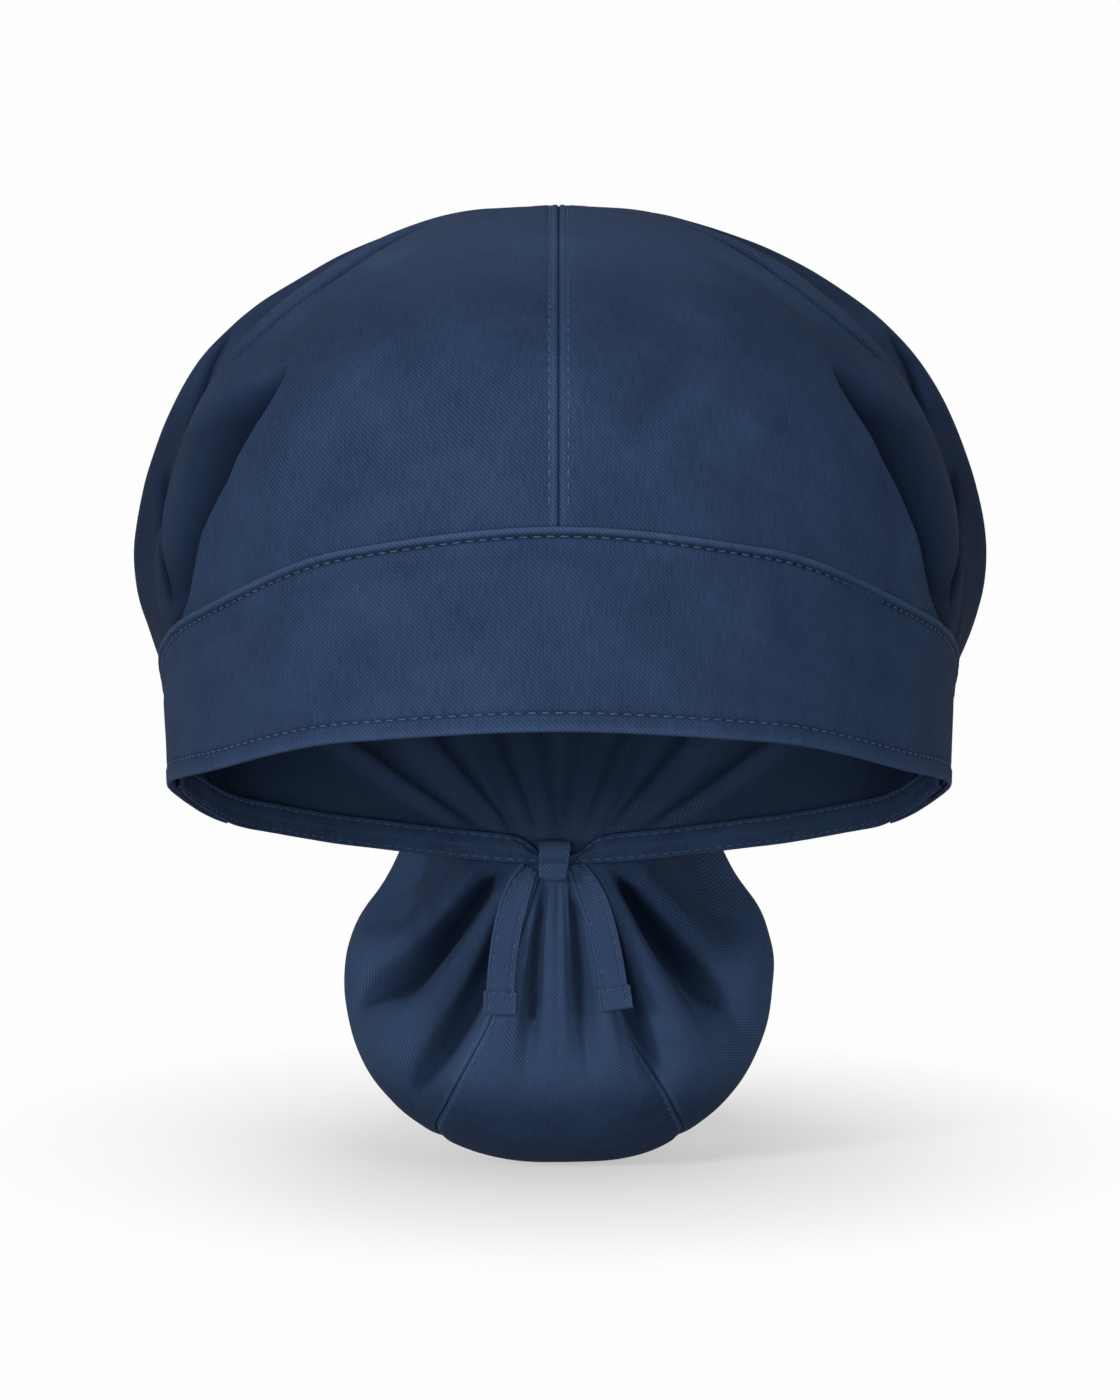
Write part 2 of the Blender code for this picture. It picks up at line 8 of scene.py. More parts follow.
import bpy
import numpy as np
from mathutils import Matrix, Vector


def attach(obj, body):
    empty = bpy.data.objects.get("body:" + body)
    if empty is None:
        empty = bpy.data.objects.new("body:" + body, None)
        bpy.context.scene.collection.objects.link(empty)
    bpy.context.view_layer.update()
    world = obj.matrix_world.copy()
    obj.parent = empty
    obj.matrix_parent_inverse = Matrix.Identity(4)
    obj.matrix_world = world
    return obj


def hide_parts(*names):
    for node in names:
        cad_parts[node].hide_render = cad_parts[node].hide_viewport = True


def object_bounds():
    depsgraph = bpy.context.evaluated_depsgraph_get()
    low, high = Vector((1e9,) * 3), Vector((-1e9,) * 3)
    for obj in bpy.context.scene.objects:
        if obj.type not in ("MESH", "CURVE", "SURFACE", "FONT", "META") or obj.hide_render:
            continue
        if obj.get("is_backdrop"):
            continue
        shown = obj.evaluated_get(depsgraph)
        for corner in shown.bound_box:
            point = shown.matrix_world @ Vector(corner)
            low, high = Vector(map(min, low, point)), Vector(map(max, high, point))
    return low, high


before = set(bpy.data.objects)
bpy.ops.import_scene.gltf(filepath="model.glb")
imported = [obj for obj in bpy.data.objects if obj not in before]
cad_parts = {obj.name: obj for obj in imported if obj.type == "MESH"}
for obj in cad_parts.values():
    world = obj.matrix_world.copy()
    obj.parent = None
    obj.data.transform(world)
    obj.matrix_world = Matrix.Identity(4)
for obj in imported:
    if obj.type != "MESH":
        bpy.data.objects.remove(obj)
plain_low, plain_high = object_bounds()
print("plain model, mm:", [round(1000 * (h - l), 1) for l, h in zip(plain_low, plain_high)])

# %% [markdown]
# ## Curves through a few rows
# A cutter works from a pattern with a few marked points and draws a fair curve through them.
# Here a table holds the marked points as named columns, and one function draws the curve. It
# could be a Bezier curve object instead, but a formula can be asked for any point of the cloth.

# %% Fair curves through a table
def through(rows, key, column, at, level_ends=True):
    """A smooth curve through a table's values."""
    keys = np.asarray(rows[key], float)
    values = np.asarray(rows[column], float)
    at = np.clip(at, keys[0], keys[-1])
    step = np.diff(values) / np.diff(keys)
    slope = np.zeros(len(keys))
    if not level_ends:
        slope[[0, -1]] = step[[0, -1]]
    for i in range(1, len(keys) - 1):
        if step[i - 1] * step[i] > 0:
            slope[i] = 2 * step[i - 1] * step[i] / (step[i - 1] + step[i])
    i = np.clip(np.searchsorted(keys, at, side="right") - 1, 0, len(keys) - 2)
    span = keys[i + 1] - keys[i]
    t = (at - keys[i]) / span
    rising = t * t * (3 - 2 * t)
    leave = t * (1 - t) ** 2 * span * slope[i]
    arrive = t * t * (1 - t) * span * slope[i + 1]
    return values[i] + (values[i + 1] - values[i]) * rising + leave - arrive


def paired(first, second):
    """Two values as number arrays of one shape."""
    return np.broadcast_arrays(np.asarray(first, float), np.asarray(second, float))


def ease(x, low, high):
    """0 below low, 1 above high, with a soft start and end."""
    t = np.clip((x - low) / (high - low), 0, 1)
    return t * t * (3 - 2 * t)


def bump(x, width):
    """1 where x is 0, fading on both sides."""
    return np.exp(-((x / width) ** 2))


def pinch(x, width):
    """1 where x is 0 and a sharp fall on both sides, like cloth pinched into a fold."""
    return np.exp(-np.sqrt((x / width) ** 2 + 0.02))


print("halfway up a soft start and end:", ease(0.5, 0, 1))

# %% [markdown]
# ## The rim of the head opening
# The opening is an oval. Its rim rides high over the brow and drops to the nape, and the band
# that is tall in front narrows behind the ears into the tie casing. Angles go round the head
# from 0 at the brow over 90 at the right ear to 180 at the nape.

# %% Rim, band and casing heights
SIDES = {"left": -1, "right": 1}
BAND_HALF_WIDTH = 0.0900
BAND_HALF_DEPTH = 0.1040
BAND_FLARE = 0.0016
RIM_FRONT_RISE = 0.0198
RIM_BACK_DROP = 0.0283
BAND_FRONT_HEIGHT = 0.0434
CASING_HEIGHT = 0.0062
CASING_WALL = 0.0016
CROWN_WALL = 0.0012
GAP = 0.0004
BAND_LEDGE = 0.0005
BACK_EDGE_RISE = 0.0008
BAND_END = 118.0
BACK_EDGE_TURN = 2.0

RIM_ROWS = {
    "angle": (0, 30, 60, 80, 98, 118, 145, 180),
    "lift": (1.0, 0.933, 0.737, 0.63, 0.52, 0.325, 0.13, 0.0),
}
BAND_ROWS = {
    "angle": (0, 30, 50, 65, 78, 90, 100, 110, 118),
    "band": (1.0, 0.94, 0.84, 0.77, 0.68, 0.56, 0.38, 0.14, 0.0),
}
CASING_ROWS = {
    "angle": (118, 165, 172, 176, 180),
    "casing": (1.0, 1.0, 0.92, 0.70, 0.42),
}


def from_brow(angle):
    """Degrees from the brow, the shorter way round the head."""
    return np.abs((np.asarray(angle, float) + 180) % 360 - 180)


def rim_height(angle):
    """The rim is high at the brow and low at the nape."""
    lift = through(RIM_ROWS, "angle", "lift", from_brow(angle))
    return -RIM_BACK_DROP + (RIM_FRONT_RISE + RIM_BACK_DROP) * lift


def band_height(angle):
    """Height of the band above its rim, down to the casing's height behind the ears."""
    around = from_brow(angle)
    share = through(BAND_ROWS, "angle", "band", around)
    drawn_in = through(CASING_ROWS, "angle", "casing", around)
    return CASING_HEIGHT * drawn_in + (BAND_FRONT_HEIGHT - CASING_HEIGHT) * share


def head_outline(angle, height, inset):
    """The oval of the head opening, a little wider at this height above the rim."""
    turn = np.radians(angle)
    inset = inset + BAND_FLARE * (1 - height / BAND_FRONT_HEIGHT)
    across = (BAND_HALF_WIDTH - inset) * np.sin(turn)
    along = -(BAND_HALF_DEPTH - inset) * np.cos(turn)
    return across, along


print("band height at the brow, mm:", 1000 * band_height(0.0))

# %% [markdown]
# ## The crown's form
# The crown is a dome that is fuller behind the ears. A deep pleat at each temple takes up the
# extra width of the front panels, and the back panel is gathered into the nape. A subdivided
# sphere could be pushed into this shape by hand, but one formula for every point keeps the
# panels meeting along their seams whatever detail is added later.

# %% Crown: dome, pleats and gathers
CROWN_RISE = 0.0674
CROWN_POLE_SETBACK = 0.0300
CROWN_SIDE_BULGE = 0.0022
CROWN_BACK_BULGE = 0.0290
SEAM_PUFF = 0.0058
PLEAT_DEPTH = 0.0085
CROWN_GATHER_DEPTH = 0.0040
SEWN_FOOT = 0.012
EAR_SEAM = 85.0

CROWN_ROWS = {
    "angle": (0, 30, 60, 85, 112, 140, 180),
    "side_bulge": (0.3, 0.3, 0.5, 1.0, 1.0, 0.6, 0.0),
    "back_bulge": (0.0, 0.0, 0.0, 0.0, 0.15, 0.58, 1.0),
    "widest": (0.25, 0.22, 0.17, 0.15, 0.31, 0.37, 0.38),
    "fullness": (2.15, 2.10, 2.05, 2.00, 2.05, 2.05, 2.05),
}
PUFF_ROWS = {"behind_seam": (-0.5, 14.0, 35.0, 70.0), "puff": (0.0, 1.0, 1.0, 0.0)}
PUFF_RISE_ROWS = {"rise": (0.0, 0.22, 0.45, 0.85), "puff": (0.0, 1.0, 1.0, 0.0)}
TUCK_ROWS = {"before_seam": (0.0, 9.0), "tuck": (0.25, 0.0)}
TUCK_RISE_ROWS = {"rise": (0.0, 0.20, 0.60, 0.90), "tuck": (0.0, 1.0, 1.0, 0.0)}

print("crown rise over the band, mm:", 1000 * CROWN_RISE)

# %% [markdown]
# ## Pleats and gathers of the crown
# A pleat is a valley with a steep front lip and a gentle slope behind. Gathers are a row of
# narrow valleys that widen as they leave the knot. Both are given as a depth share from 0 to 1,
# so that the plain form and the fine relief can each use them at a depth of their own.

# %% Valleys of the pleats and gathers
PLEAT_FOOT = 69.0
PLEAT_TIP = 47.0
PLEAT_REACH = 0.33
PLEAT_FRONT_WIDTH = 1.5
PLEAT_BACK_WIDTH = 17.0
PLEAT_FOOT_WIDTH = 0.35
PLEAT_FADE = (0.86, 1.08)
GATHER_ROWS = {
    "foot_angle": (1.6, 3.6, 5.8, 8.6),
    "tip_angle": (6.0, 15.0, 27.0, 42.0),
    "tip_rise": (0.34, 0.32, 0.28, 0.22),
    "depth": (0.8, 1.0, 0.8, 0.55),
    "foot_width": (0.9, 0.9, 0.9, 0.9),
    "tip_width": (4.9, 4.9, 4.9, 4.9),
}
GATHER_FADE_ROWS = {"along": (-0.1, 0.30, 0.45, 1.0), "depth": (0.0, 1.0, 1.0, 0.0)}


def pleat_valley(angle, rise, front_width, back_width):
    """Depth share of the pleat at each temple: a steep front lip and a gentle slope behind."""
    along = np.clip(rise / PLEAT_REACH, 0, PLEAT_FADE[1])
    line = PLEAT_FOOT + (PLEAT_TIP - PLEAT_FOOT) * np.sin(np.minimum(along, 1) * np.pi / 2)
    offset = from_brow(angle) - line
    width = np.where(offset < 0, front_width, back_width)
    width = width * (PLEAT_FOOT_WIDTH + (1 - PLEAT_FOOT_WIDTH) * along)
    return (1 - ease(along, *PLEAT_FADE)) * bump(offset, width)


def gather_valleys(angle, rise, narrowing=1.0, profile=bump):
    """Depth share of the gathers that radiate from the knot up the back panel."""
    from_nape = 180 - from_brow(angle)
    depth = np.zeros(np.shape(from_nape * rise))
    for foot, tip, reach, share, narrow, wide in zip(*GATHER_ROWS.values()):
        along = np.clip(rise / reach, 0, 1)
        line = foot + (tip - foot) * along
        fade = through(GATHER_FADE_ROWS, "along", "depth", along)
        width = narrowing * (narrow + (wide - narrow) * along)
        depth = depth + share * fade * profile(from_nape - line, width)
    return depth


middle = pleat_valley(58.0, 0.165, PLEAT_FRONT_WIDTH, PLEAT_BACK_WIDTH)
print("pleat depth share at its middle:", round(float(middle), 2))

# %% [markdown]
# ## Any point of the crown
# The crown's foot follows the band's top and then the casing. From there an arc swells out to
# the widest place and closes at the top of the head, and the valleys are pressed into it.

# %% The crown's outer side
def crown_foot(angle):
    """1 where the crown stands on the casing, 0 on the band, and its foot's height."""
    over_casing = ease(from_brow(angle), BAND_END, BAND_END + BACK_EDGE_TURN)
    height = (band_height(angle) + GAP) * (1 - over_casing) + BACK_EDGE_RISE * over_casing
    return over_casing, height


def crown_point(angle, rise):
    """A point of the crown's outer side: rise is 0 at the band and 1 at the top of the head."""
    angle, rise = paired(angle, rise)
    around = from_brow(angle)
    over_casing, foot_rise = crown_foot(angle)
    foot_x, foot_y = head_outline(angle, foot_rise, BAND_LEDGE * (1 - over_casing))
    arm_x, arm_y = foot_x, foot_y - CROWN_POLE_SETBACK
    arm = np.hypot(arm_x, arm_y)
    bulge = CROWN_SIDE_BULGE * through(CROWN_ROWS, "angle", "side_bulge", around)
    bulge = bulge + CROWN_BACK_BULGE * through(CROWN_ROWS, "angle", "back_bulge", around)
    wide = arm + bulge
    foot_z = rim_height(angle) + foot_rise
    top_z = RIM_FRONT_RISE + BAND_FRONT_HEIGHT + CROWN_RISE
    wide_z = foot_z + (top_z - foot_z) * through(CROWN_ROWS, "angle", "widest", around)
    fullness = through(CROWN_ROWS, "angle", "fullness", around)
    lean = np.arccos(arm / wide)
    tilt = -lean + (np.pi / 2 + lean) * rise
    above = tilt > 0
    cosine = np.clip(np.cos(tilt), 0, 1)
    sine = np.clip(np.sin(tilt), 0, 1)
    under = (wide_z - foot_z) * np.sin(tilt) / np.sin(np.maximum(lean, 1e-3))
    reach = wide * np.where(above, cosine ** (2 / fullness), cosine)
    height = np.where(above, wide_z + (top_z - wide_z) * sine ** (2 / fullness), wide_z + under)
    puff = through(PUFF_ROWS, "behind_seam", "puff", around - EAR_SEAM)
    puff = puff * through(PUFF_RISE_ROWS, "rise", "puff", rise)
    tuck = through(TUCK_ROWS, "before_seam", "tuck", EAR_SEAM - around) * (around <= EAR_SEAM)
    tuck = tuck * through(TUCK_RISE_ROWS, "rise", "tuck", rise)
    swell = SEAM_PUFF * (puff - tuck)
    valley = pleat_valley(angle, rise, PLEAT_FRONT_WIDTH, PLEAT_BACK_WIDTH)
    swell = swell - PLEAT_DEPTH * valley
    swell = swell - CROWN_GATHER_DEPTH * gather_valleys(angle, rise)
    swell = swell * ease(rise, SEWN_FOOT, 4 * SEWN_FOOT)
    reach = reach + swell * np.clip(np.cos(tilt), 0, 1)
    height = height + swell * np.sin(tilt) * above
    x = arm_x / arm * reach
    y = CROWN_POLE_SETBACK + arm_y / arm * reach
    return np.stack([x, y, height], axis=-1)


print("top of the crown, mm:", round(1000 * float(crown_point(0, 1)[2]), 1))

# %% [markdown]
# ## The pouch's form
# The pouch is a soft bag, sewn round a mouth in the back panel and drawn together behind the
# knot. Its folds fan out from the knot like the rays of a shell. A cloth simulation could fall
# into folds of its own, but these have to lie where the real cloth is pleated into the knot,
# so they are drawn as rays with a start, an end and a reach.

# %% Pouch: round form, folds and the way it is sewn on
POUCH_HALF_WIDTH = 0.0537
POUCH_HALF_DEPTH = 0.0440
POUCH_UPPER_HEIGHT = 0.0400
POUCH_LOWER_HEIGHT = 0.0457
POUCH_SETBACK = 0.0440
POUCH_DROP = 0.0340
POUCH_WALL = 0.0012
POUCH_FOLD_DEPTH = 0.0050
POUCH_LEAN = 45.0
POUCH_FIRST_TURN = 22.0
POUCH_LAST_TURN = 178.0
POUCH_FULLNESS = 2.12
ATTACH_ROWS = {
    "fan": (0, 35, 70, 100, 130, 155, 180),
    "side": (0.0, 4.0, 8.0, 11.0, 15.0, 14.0, 0.0),
    "rise": (0.0, 0.0, 0.01, 0.08, 0.24, 0.38, 0.43),
    "pull": (0.40, 0.38, 0.30, 0.32, 0.45, 0.62, 0.70),
}
PRINCESS_ROWS = {
    "along": (0.0, 0.13, 0.25, 0.35, 0.45, 0.60, 1.0),
    "fan": (18.0, 22.0, 27.0, 32.0, 36.0, 43.0, 46.0),
}

print("pouch size across, mm:", 2000 * POUCH_HALF_WIDTH)

# %% [markdown]
# ## Any point of the pouch
# The full round bag is an oval that is a little squarer than an ellipsoid. Near its mouth each
# ray is drawn towards the place where the bag is sewn to the crown.

# %% The pouch's outer side
FOLD_FULL = 0.22
FOLD_FADE = 0.55

FOLD_ROWS = {
    "start_fan": (-84.0, -58.0, -31.0, -13.0, 12.0, 29.0, 54.0, 83.0),
    "end_fan": (-98.0, -77.0, -48.0, -11.0, 10.0, 33.0, 66.0, 97.0),
    "half_width": (9.0, 12.0, 9.0, 5.5, 5.5, 8.0, 11.0, 9.0),
    "depth": (0.5, 1.0, 1.0, 0.6, 0.6, 0.9, 1.0, 0.5),
    "reach": (0.42, 0.46, 0.50, 0.36, 0.36, 0.42, 0.46, 0.42),
}


def pouch_round(fan, turn):
    """A point of the pouch's full round form, seen along rays from its middle."""
    lean = np.radians(POUCH_LEAN)
    to_knot = np.array([0.0, -np.sin(lean), np.cos(lean)])
    to_front = np.array([0.0, -np.cos(lean), -np.sin(lean)])
    fan = np.radians(fan)
    x = np.sin(turn) * np.sin(fan)
    y = np.cos(turn) * to_knot[1] + np.sin(turn) * np.cos(fan) * to_front[1]
    z = np.cos(turn) * to_knot[2] + np.sin(turn) * np.cos(fan) * to_front[2]
    tall = np.where(z > 0, POUCH_UPPER_HEIGHT, POUCH_LOWER_HEIGHT)
    size = (np.abs(x) / POUCH_HALF_WIDTH) ** POUCH_FULLNESS
    size = size + (np.abs(y) / POUCH_HALF_DEPTH) ** POUCH_FULLNESS
    size = size + (np.abs(z) / tall) ** POUCH_FULLNESS
    reach = size ** (-1 / POUCH_FULLNESS)
    return np.stack([x * reach, y * reach, z * reach], axis=-1)


def fold_lines(fan, along):
    """Depth share of the folds that radiate from the knot."""
    depth = np.zeros(np.shape(fan * along))
    for start, end, half, share, reach in zip(*FOLD_ROWS.values()):
        line = start + (end - start) * ease(along, 0.0, reach)
        fade = ease(along, 0.0, FOLD_FULL) * (1 - ease(along, FOLD_FADE * reach, reach))
        depth = depth + share * fade * bump(fan - line, half)
    return depth


def pouch_point(fan, along):
    """A point of the pouch: along is 0 where it is sewn on and 1 at the far end of the bag."""
    fan, along = paired(fan, along)
    first_turn = np.radians(POUCH_FIRST_TURN)
    last_turn = np.radians(POUCH_LAST_TURN)
    body = pouch_round(fan, first_turn + (last_turn - first_turn) * along)
    start = pouch_round(fan, np.full(fan.shape, first_turn))
    around = np.abs(fan)
    side = through(ATTACH_ROWS, "fan", "side", around, level_ends=False)
    rise = through(ATTACH_ROWS, "fan", "rise", around)
    seam = crown_point(180 - side, rise)
    seam[..., 0] = seam[..., 0] * np.sign(fan)
    stand_off = POUCH_WALL + GAP
    flat = np.hypot(seam[..., 0], seam[..., 1] - CROWN_POLE_SETBACK)
    seam[..., 0] += seam[..., 0] / flat * stand_off
    seam[..., 1] += (seam[..., 1] - CROWN_POLE_SETBACK) / flat * stand_off
    pull = 1 - ease(along, 0.0, through(ATTACH_ROWS, "fan", "pull", around))
    folds = 1 - POUCH_FOLD_DEPTH / POUCH_HALF_DEPTH * fold_lines(fan, along)
    centre = np.array([0.0, BAND_HALF_DEPTH + POUCH_SETBACK, -RIM_BACK_DROP - POUCH_DROP])
    return centre + body * folds[..., None] + (seam - centre - start) * pull[..., None]


def princess_seam(along):
    """Fan angle of the seam beside the pouch's centre panel."""
    return through(PRINCESS_ROWS, "along", "fan", along)


pouch_low = pouch_point(0, np.linspace(0, 1, 99))[:, 2].min()
print("bottom of the pouch, mm:", round(1000 * float(pouch_low)))

# %% [markdown]
# ## Working on a surface
# Detail is laid on a surface as relief: a height in or out from the cloth's own face. That
# needs the direction that the surface faces, the length of a degree on it, smooth random
# rumples and irregular ripples for puckered seams. Blender's Displace modifier can do it with
# a texture, but reckoned here, the stitches can ride on the very same relief.

# %% Directions, lengths, rumples and ripples
NUDGE = 1e-3


def facing(surface, across, along, outward=1):
    """The direction that a surface faces at these places."""
    sideways = surface(across + NUDGE, along) - surface(across - NUDGE, along)
    onward = surface(across, along + NUDGE) - surface(across, along - NUDGE)
    direction = np.cross(sideways, onward) * outward
    return direction / np.maximum(np.linalg.norm(direction, axis=-1, keepdims=True), 1e-12)


def degree_length(surface, across, along):
    """Length of one degree across a surface, in metres."""
    step = surface(across + 0.5, along) - surface(across - 0.5, along)
    return np.linalg.norm(step, axis=-1)


def rumple(points, size, seed):
    """Smooth hills and hollows of about this size, from -1 to 1 and the same each run."""
    lattice = np.random.default_rng(seed).uniform(-1, 1, (32, 32, 32))
    place = points / size
    cell = np.floor(place).astype(int)
    t = place - cell
    t = t * t * (3 - 2 * t)
    height = np.zeros(points.shape[:-1])
    for corner in np.ndindex(2, 2, 2):
        share = np.where(np.array(corner) == 1, t, 1 - t).prod(axis=-1)
        i, j, k = np.moveaxis((cell + corner) % 32, -1, 0)
        height = height + share * lattice[i, j, k]
    return height


def ripple(place, size, seed):
    """An irregular wave along a line, from -1 to 1, with crests about this far apart."""
    crests = np.random.default_rng(seed).uniform(-1, 1, 512)
    place = np.asarray(place) / size + 256
    cell = np.floor(place).astype(int)
    t = place - cell
    t = t * t * (3 - 2 * t)
    return crests[cell % 512] * (1 - t) + crests[(cell + 1) % 512] * t


def beside(points, outward, line):
    """Distance from a line on a surface, signed by its side, and the share along it."""
    gap = np.full(points.shape[:-1], np.inf)
    share = np.zeros(points.shape[:-1])
    side = np.ones(points.shape[:-1])
    for i in range(len(line) - 1):
        run = line[i + 1] - line[i]
        t = np.clip(((points - line[i]) @ run) / (run @ run), 0, 1)
        away = points - line[i] - t[..., None] * run
        distance = np.linalg.norm(away, axis=-1)
        nearer = distance < gap
        gap = np.where(nearer, distance, gap)
        share = np.where(nearer, (i + t) / (len(line) - 1), share)
        turn = np.sign((np.cross(run, outward) * away).sum(axis=-1))
        side = np.where(nearer, turn, side)
    return gap * np.where(side == 0, 1, side), share


def crease(points, outward, line, left, right, sharp):
    """Depth share of a fold along a line, with its own width on each side and fading ends."""
    distance, share = beside(points, outward, line)
    width = np.where(distance < 0, left, right)
    fade = ease(share, 0.0, 0.25) * (1 - ease(share, 0.75, 1.0))
    return fade * (pinch(distance, width) if sharp else bump(distance, width))


print("one degree of the crown over the brow, mm:",
      np.round(1000 * degree_length(crown_point, 0.0, np.array([0.0, 0.5])), 2))

# %% [markdown]
# ## Seams and topstitching
# Two panels are joined face to face, so their edges roll inwards and leave a fine groove. The
# seam allowance is then stitched down beside it. The thread pulls the cloth into a shallow
# channel with tiny puckers between the needle holes. One relief function serves every seam.

# %% Relief of a sewn seam
STITCH_PITCH = 0.0029
EDGE_ROLL = 0.0008
CHANNEL_DEPTH = 0.00036
CHANNEL_WIDTH = 0.00055
PUCKER_DEPTH = 0.00016
PUCKER_REACH = 0.0060


def rolled_edge(distance, radius=EDGE_ROLL):
    """Drop of a cloth edge that rolls inwards at a seam or a fold."""
    inside = np.clip(radius - distance, 0, radius)
    return -(radius - np.sqrt(radius**2 - inside**2))


def stitched(distance, run, seed, pucker=1.0):
    """Relief beside a line of stitches: a channel, holes between stitches, and puckers."""
    holes = 0.5 + 0.5 * np.cos(2 * np.pi * run / STITCH_PITCH)
    channel = -CHANNEL_DEPTH * (0.65 + 0.35 * holes) * bump(distance, CHANNEL_WIDTH)
    waves = ripple(run, size=0.0034, seed=seed) + 0.5 * ripple(run, size=0.0016, seed=seed + 1)
    fade = np.exp(-np.abs(distance) / PUCKER_REACH)
    return channel + pucker * PUCKER_DEPTH * waves * fade


print("stitches in 10 cm:", round(0.1 / STITCH_PITCH))

# %% [markdown]
# ## Navy cotton twill
# Twill has fine ridges that run down to the right, each made of short floats of yarn. The dye
# takes unevenly, so the navy is mottled. It is paler along folded edges and seams, partly rubbed
# wear and partly painted highlight. Painted light makes some parts paler, such as the top of the
# crown, and painted shade darkens the bottom of folds, the pleats and the pouch under the casing.
# The ridges are drawn from the cloth's own place, stored on the mesh in metres as grain, so
# that they follow each piece as it was cut. An image texture would blur at this size.

# %% The twill and the sewing thread
TWILL_DARK = (0.0032, 0.0067, 0.0168, 1.0)
TWILL_LIGHT = (0.0122, 0.0224, 0.0475, 1.0)
# The pale navy stands for rubbed wear and painted light, the darkest navy for painted shade.
TWILL_WORN_AND_PAINTED_LIGHT = (0.0218, 0.0395, 0.0800, 1.0)
TWILL_PAINTED_SHADE = (0.0006, 0.0018, 0.0055, 1.0)
THREAD_NAVY = (0.0150, 0.0275, 0.0590, 1.0)
TWILL_PITCH = 0.00072
YARN_PITCH = 0.00042
RIDGE_HEIGHT = 0.00005
PAINTED_SHADE_SHARE = 0.90
PALING_IN_GROOVES = 0.35
TWILL_SURFACE = {
    "Specular IOR Level": 0.02,
    "Sheen Weight": 0.006,
    "Sheen Roughness": 0.45,
    "Sheen Tint": (0.40, 0.58, 1.0, 1.0),
}
THREAD_SURFACE = {"Roughness": 0.55, "Specular IOR Level": 0.12}


class Nodes:
    """A short way to add shader nodes and join them."""

    def __init__(self, name):
        self.material = bpy.data.materials.new(name)
        self.material.use_nodes = True
        self.tree = self.material.node_tree
        self.shader = self.tree.nodes["Principled BSDF"]

    def add(self, kind, settings=None, **inputs):
        node = self.tree.nodes.new("ShaderNode" + kind)
        for key, value in (settings or {}).items():
            setattr(node, key, value)
        for key, value in inputs.items():
            place = int(key[1:]) if key[1:].isdigit() else key
            self.put(node.inputs[place], value)
        return node

    def put(self, socket, value):
        """Join a socket to another one, or give it a value."""
        if isinstance(value, bpy.types.NodeSocket):
            self.tree.links.new(value, socket)
        else:
            socket.default_value = value

    def finish(self, sockets):
        """Fill the shader's own sockets."""
        for name, value in sockets.items():
            self.put(self.shader.inputs[name], value)

    def math(self, operation, first, second=0.0):
        return self.add("Math", {"operation": operation}, _0=first, _1=second).outputs[0]

    def noise(self, vector, scale, detail=2.0):
        return self.add("TexNoise", Vector=vector, Scale=scale, Detail=detail).outputs[0]

    def spread(self, value, low, high, to_low, to_high):
        node = self.add("MapRange", _0=value, _1=low, _2=high, _3=to_low, _4=to_high)
        return node.outputs[0]

    def mix(self, share, first, second):
        node = self.add("Mix", {"data_type": "RGBA"}, _0=share, _6=first, _7=second)
        return node.outputs[2]


print("ridges in 10 mm:", round(0.01 / TWILL_PITCH))

# %% [markdown]
# ## The twill's pattern
# Ridges and yarns are sine waves over the grain, bent a little by noise as in real cloth. The
# same waves drive the colour and the fine bump, so that the light and dark threads agree.

# %% Twill and thread
def make_twill():
    """Cotton twill: ridges, yarn, mottled dye, and rubbed wear with painted light and shade."""
    cloth = Nodes("navy_twill")
    grain = cloth.add("Attribute", {"attribute_name": "grain"}).outputs["Vector"]
    wear_and_painted_shading = cloth.add("Attribute", {"attribute_name": "wear_and_painted_shading"}).outputs["Fac"]
    parts = cloth.add("SeparateXYZ", _0=grain).outputs
    wobble = cloth.math("MULTIPLY", cloth.noise(grain, 520.0), 2.6)
    slope = cloth.math("ADD", parts[0], parts[1])
    ridges = cloth.math("MULTIPLY", slope, 2 * np.pi / (TWILL_PITCH * np.sqrt(2)))
    ridges = cloth.math("SINE", cloth.math("ADD", ridges, wobble))
    yarns = cloth.math("MULTIPLY", parts[0], 2 * np.pi / YARN_PITCH)
    yarns = cloth.math("SINE", cloth.math("ADD", yarns, wobble))
    weave = cloth.math("ADD", ridges, cloth.math("MULTIPLY", yarns, 0.35))
    streaks = cloth.add("Mapping", Vector=grain, Scale=(2600.0, 240.0, 1.0)).outputs[0]
    slub = cloth.noise(streaks, 1.0, 3.0)
    mottle = cloth.noise(grain, 55.0, 4.0)
    shade = cloth.spread(weave, -1.35, 1.35, 0.18, 0.74)
    shade = cloth.math("ADD", shade, cloth.spread(slub, 0.3, 0.7, -0.15, 0.15))
    shade = cloth.math("ADD", shade, cloth.spread(mottle, 0.3, 0.7, -0.14, 0.14))
    navy = cloth.mix(shade, TWILL_DARK, TWILL_LIGHT)
    # Above 0 the attribute pales the navy as rubbed wear and painted light; below 0 it darkens it
    # with painted shade.
    wear_and_painted_light = cloth.spread(weave, -1.0, 1.0, PALING_IN_GROOVES, 1.0)
    wear_and_painted_light = cloth.math("MULTIPLY", wear_and_painted_shading, wear_and_painted_light)
    navy = cloth.mix(wear_and_painted_light, navy, TWILL_WORN_AND_PAINTED_LIGHT)
    navy = cloth.mix(cloth.math("MULTIPLY", wear_and_painted_shading, -PAINTED_SHADE_SHARE), navy, TWILL_PAINTED_SHADE)
    fuzz = cloth.noise(grain, 5200.0, 2.0)
    height = cloth.math("ADD", weave, cloth.math("MULTIPLY", fuzz, 1.3))
    relief = cloth.add("Bump", Height=height, Strength=0.55, Distance=RIDGE_HEIGHT).outputs[0]
    rough = cloth.spread(mottle, 0.3, 0.7, 0.80, 0.90)
    cloth.finish({"Base Color": navy, "Normal": relief, "Roughness": rough, **TWILL_SURFACE})
    return cloth.material


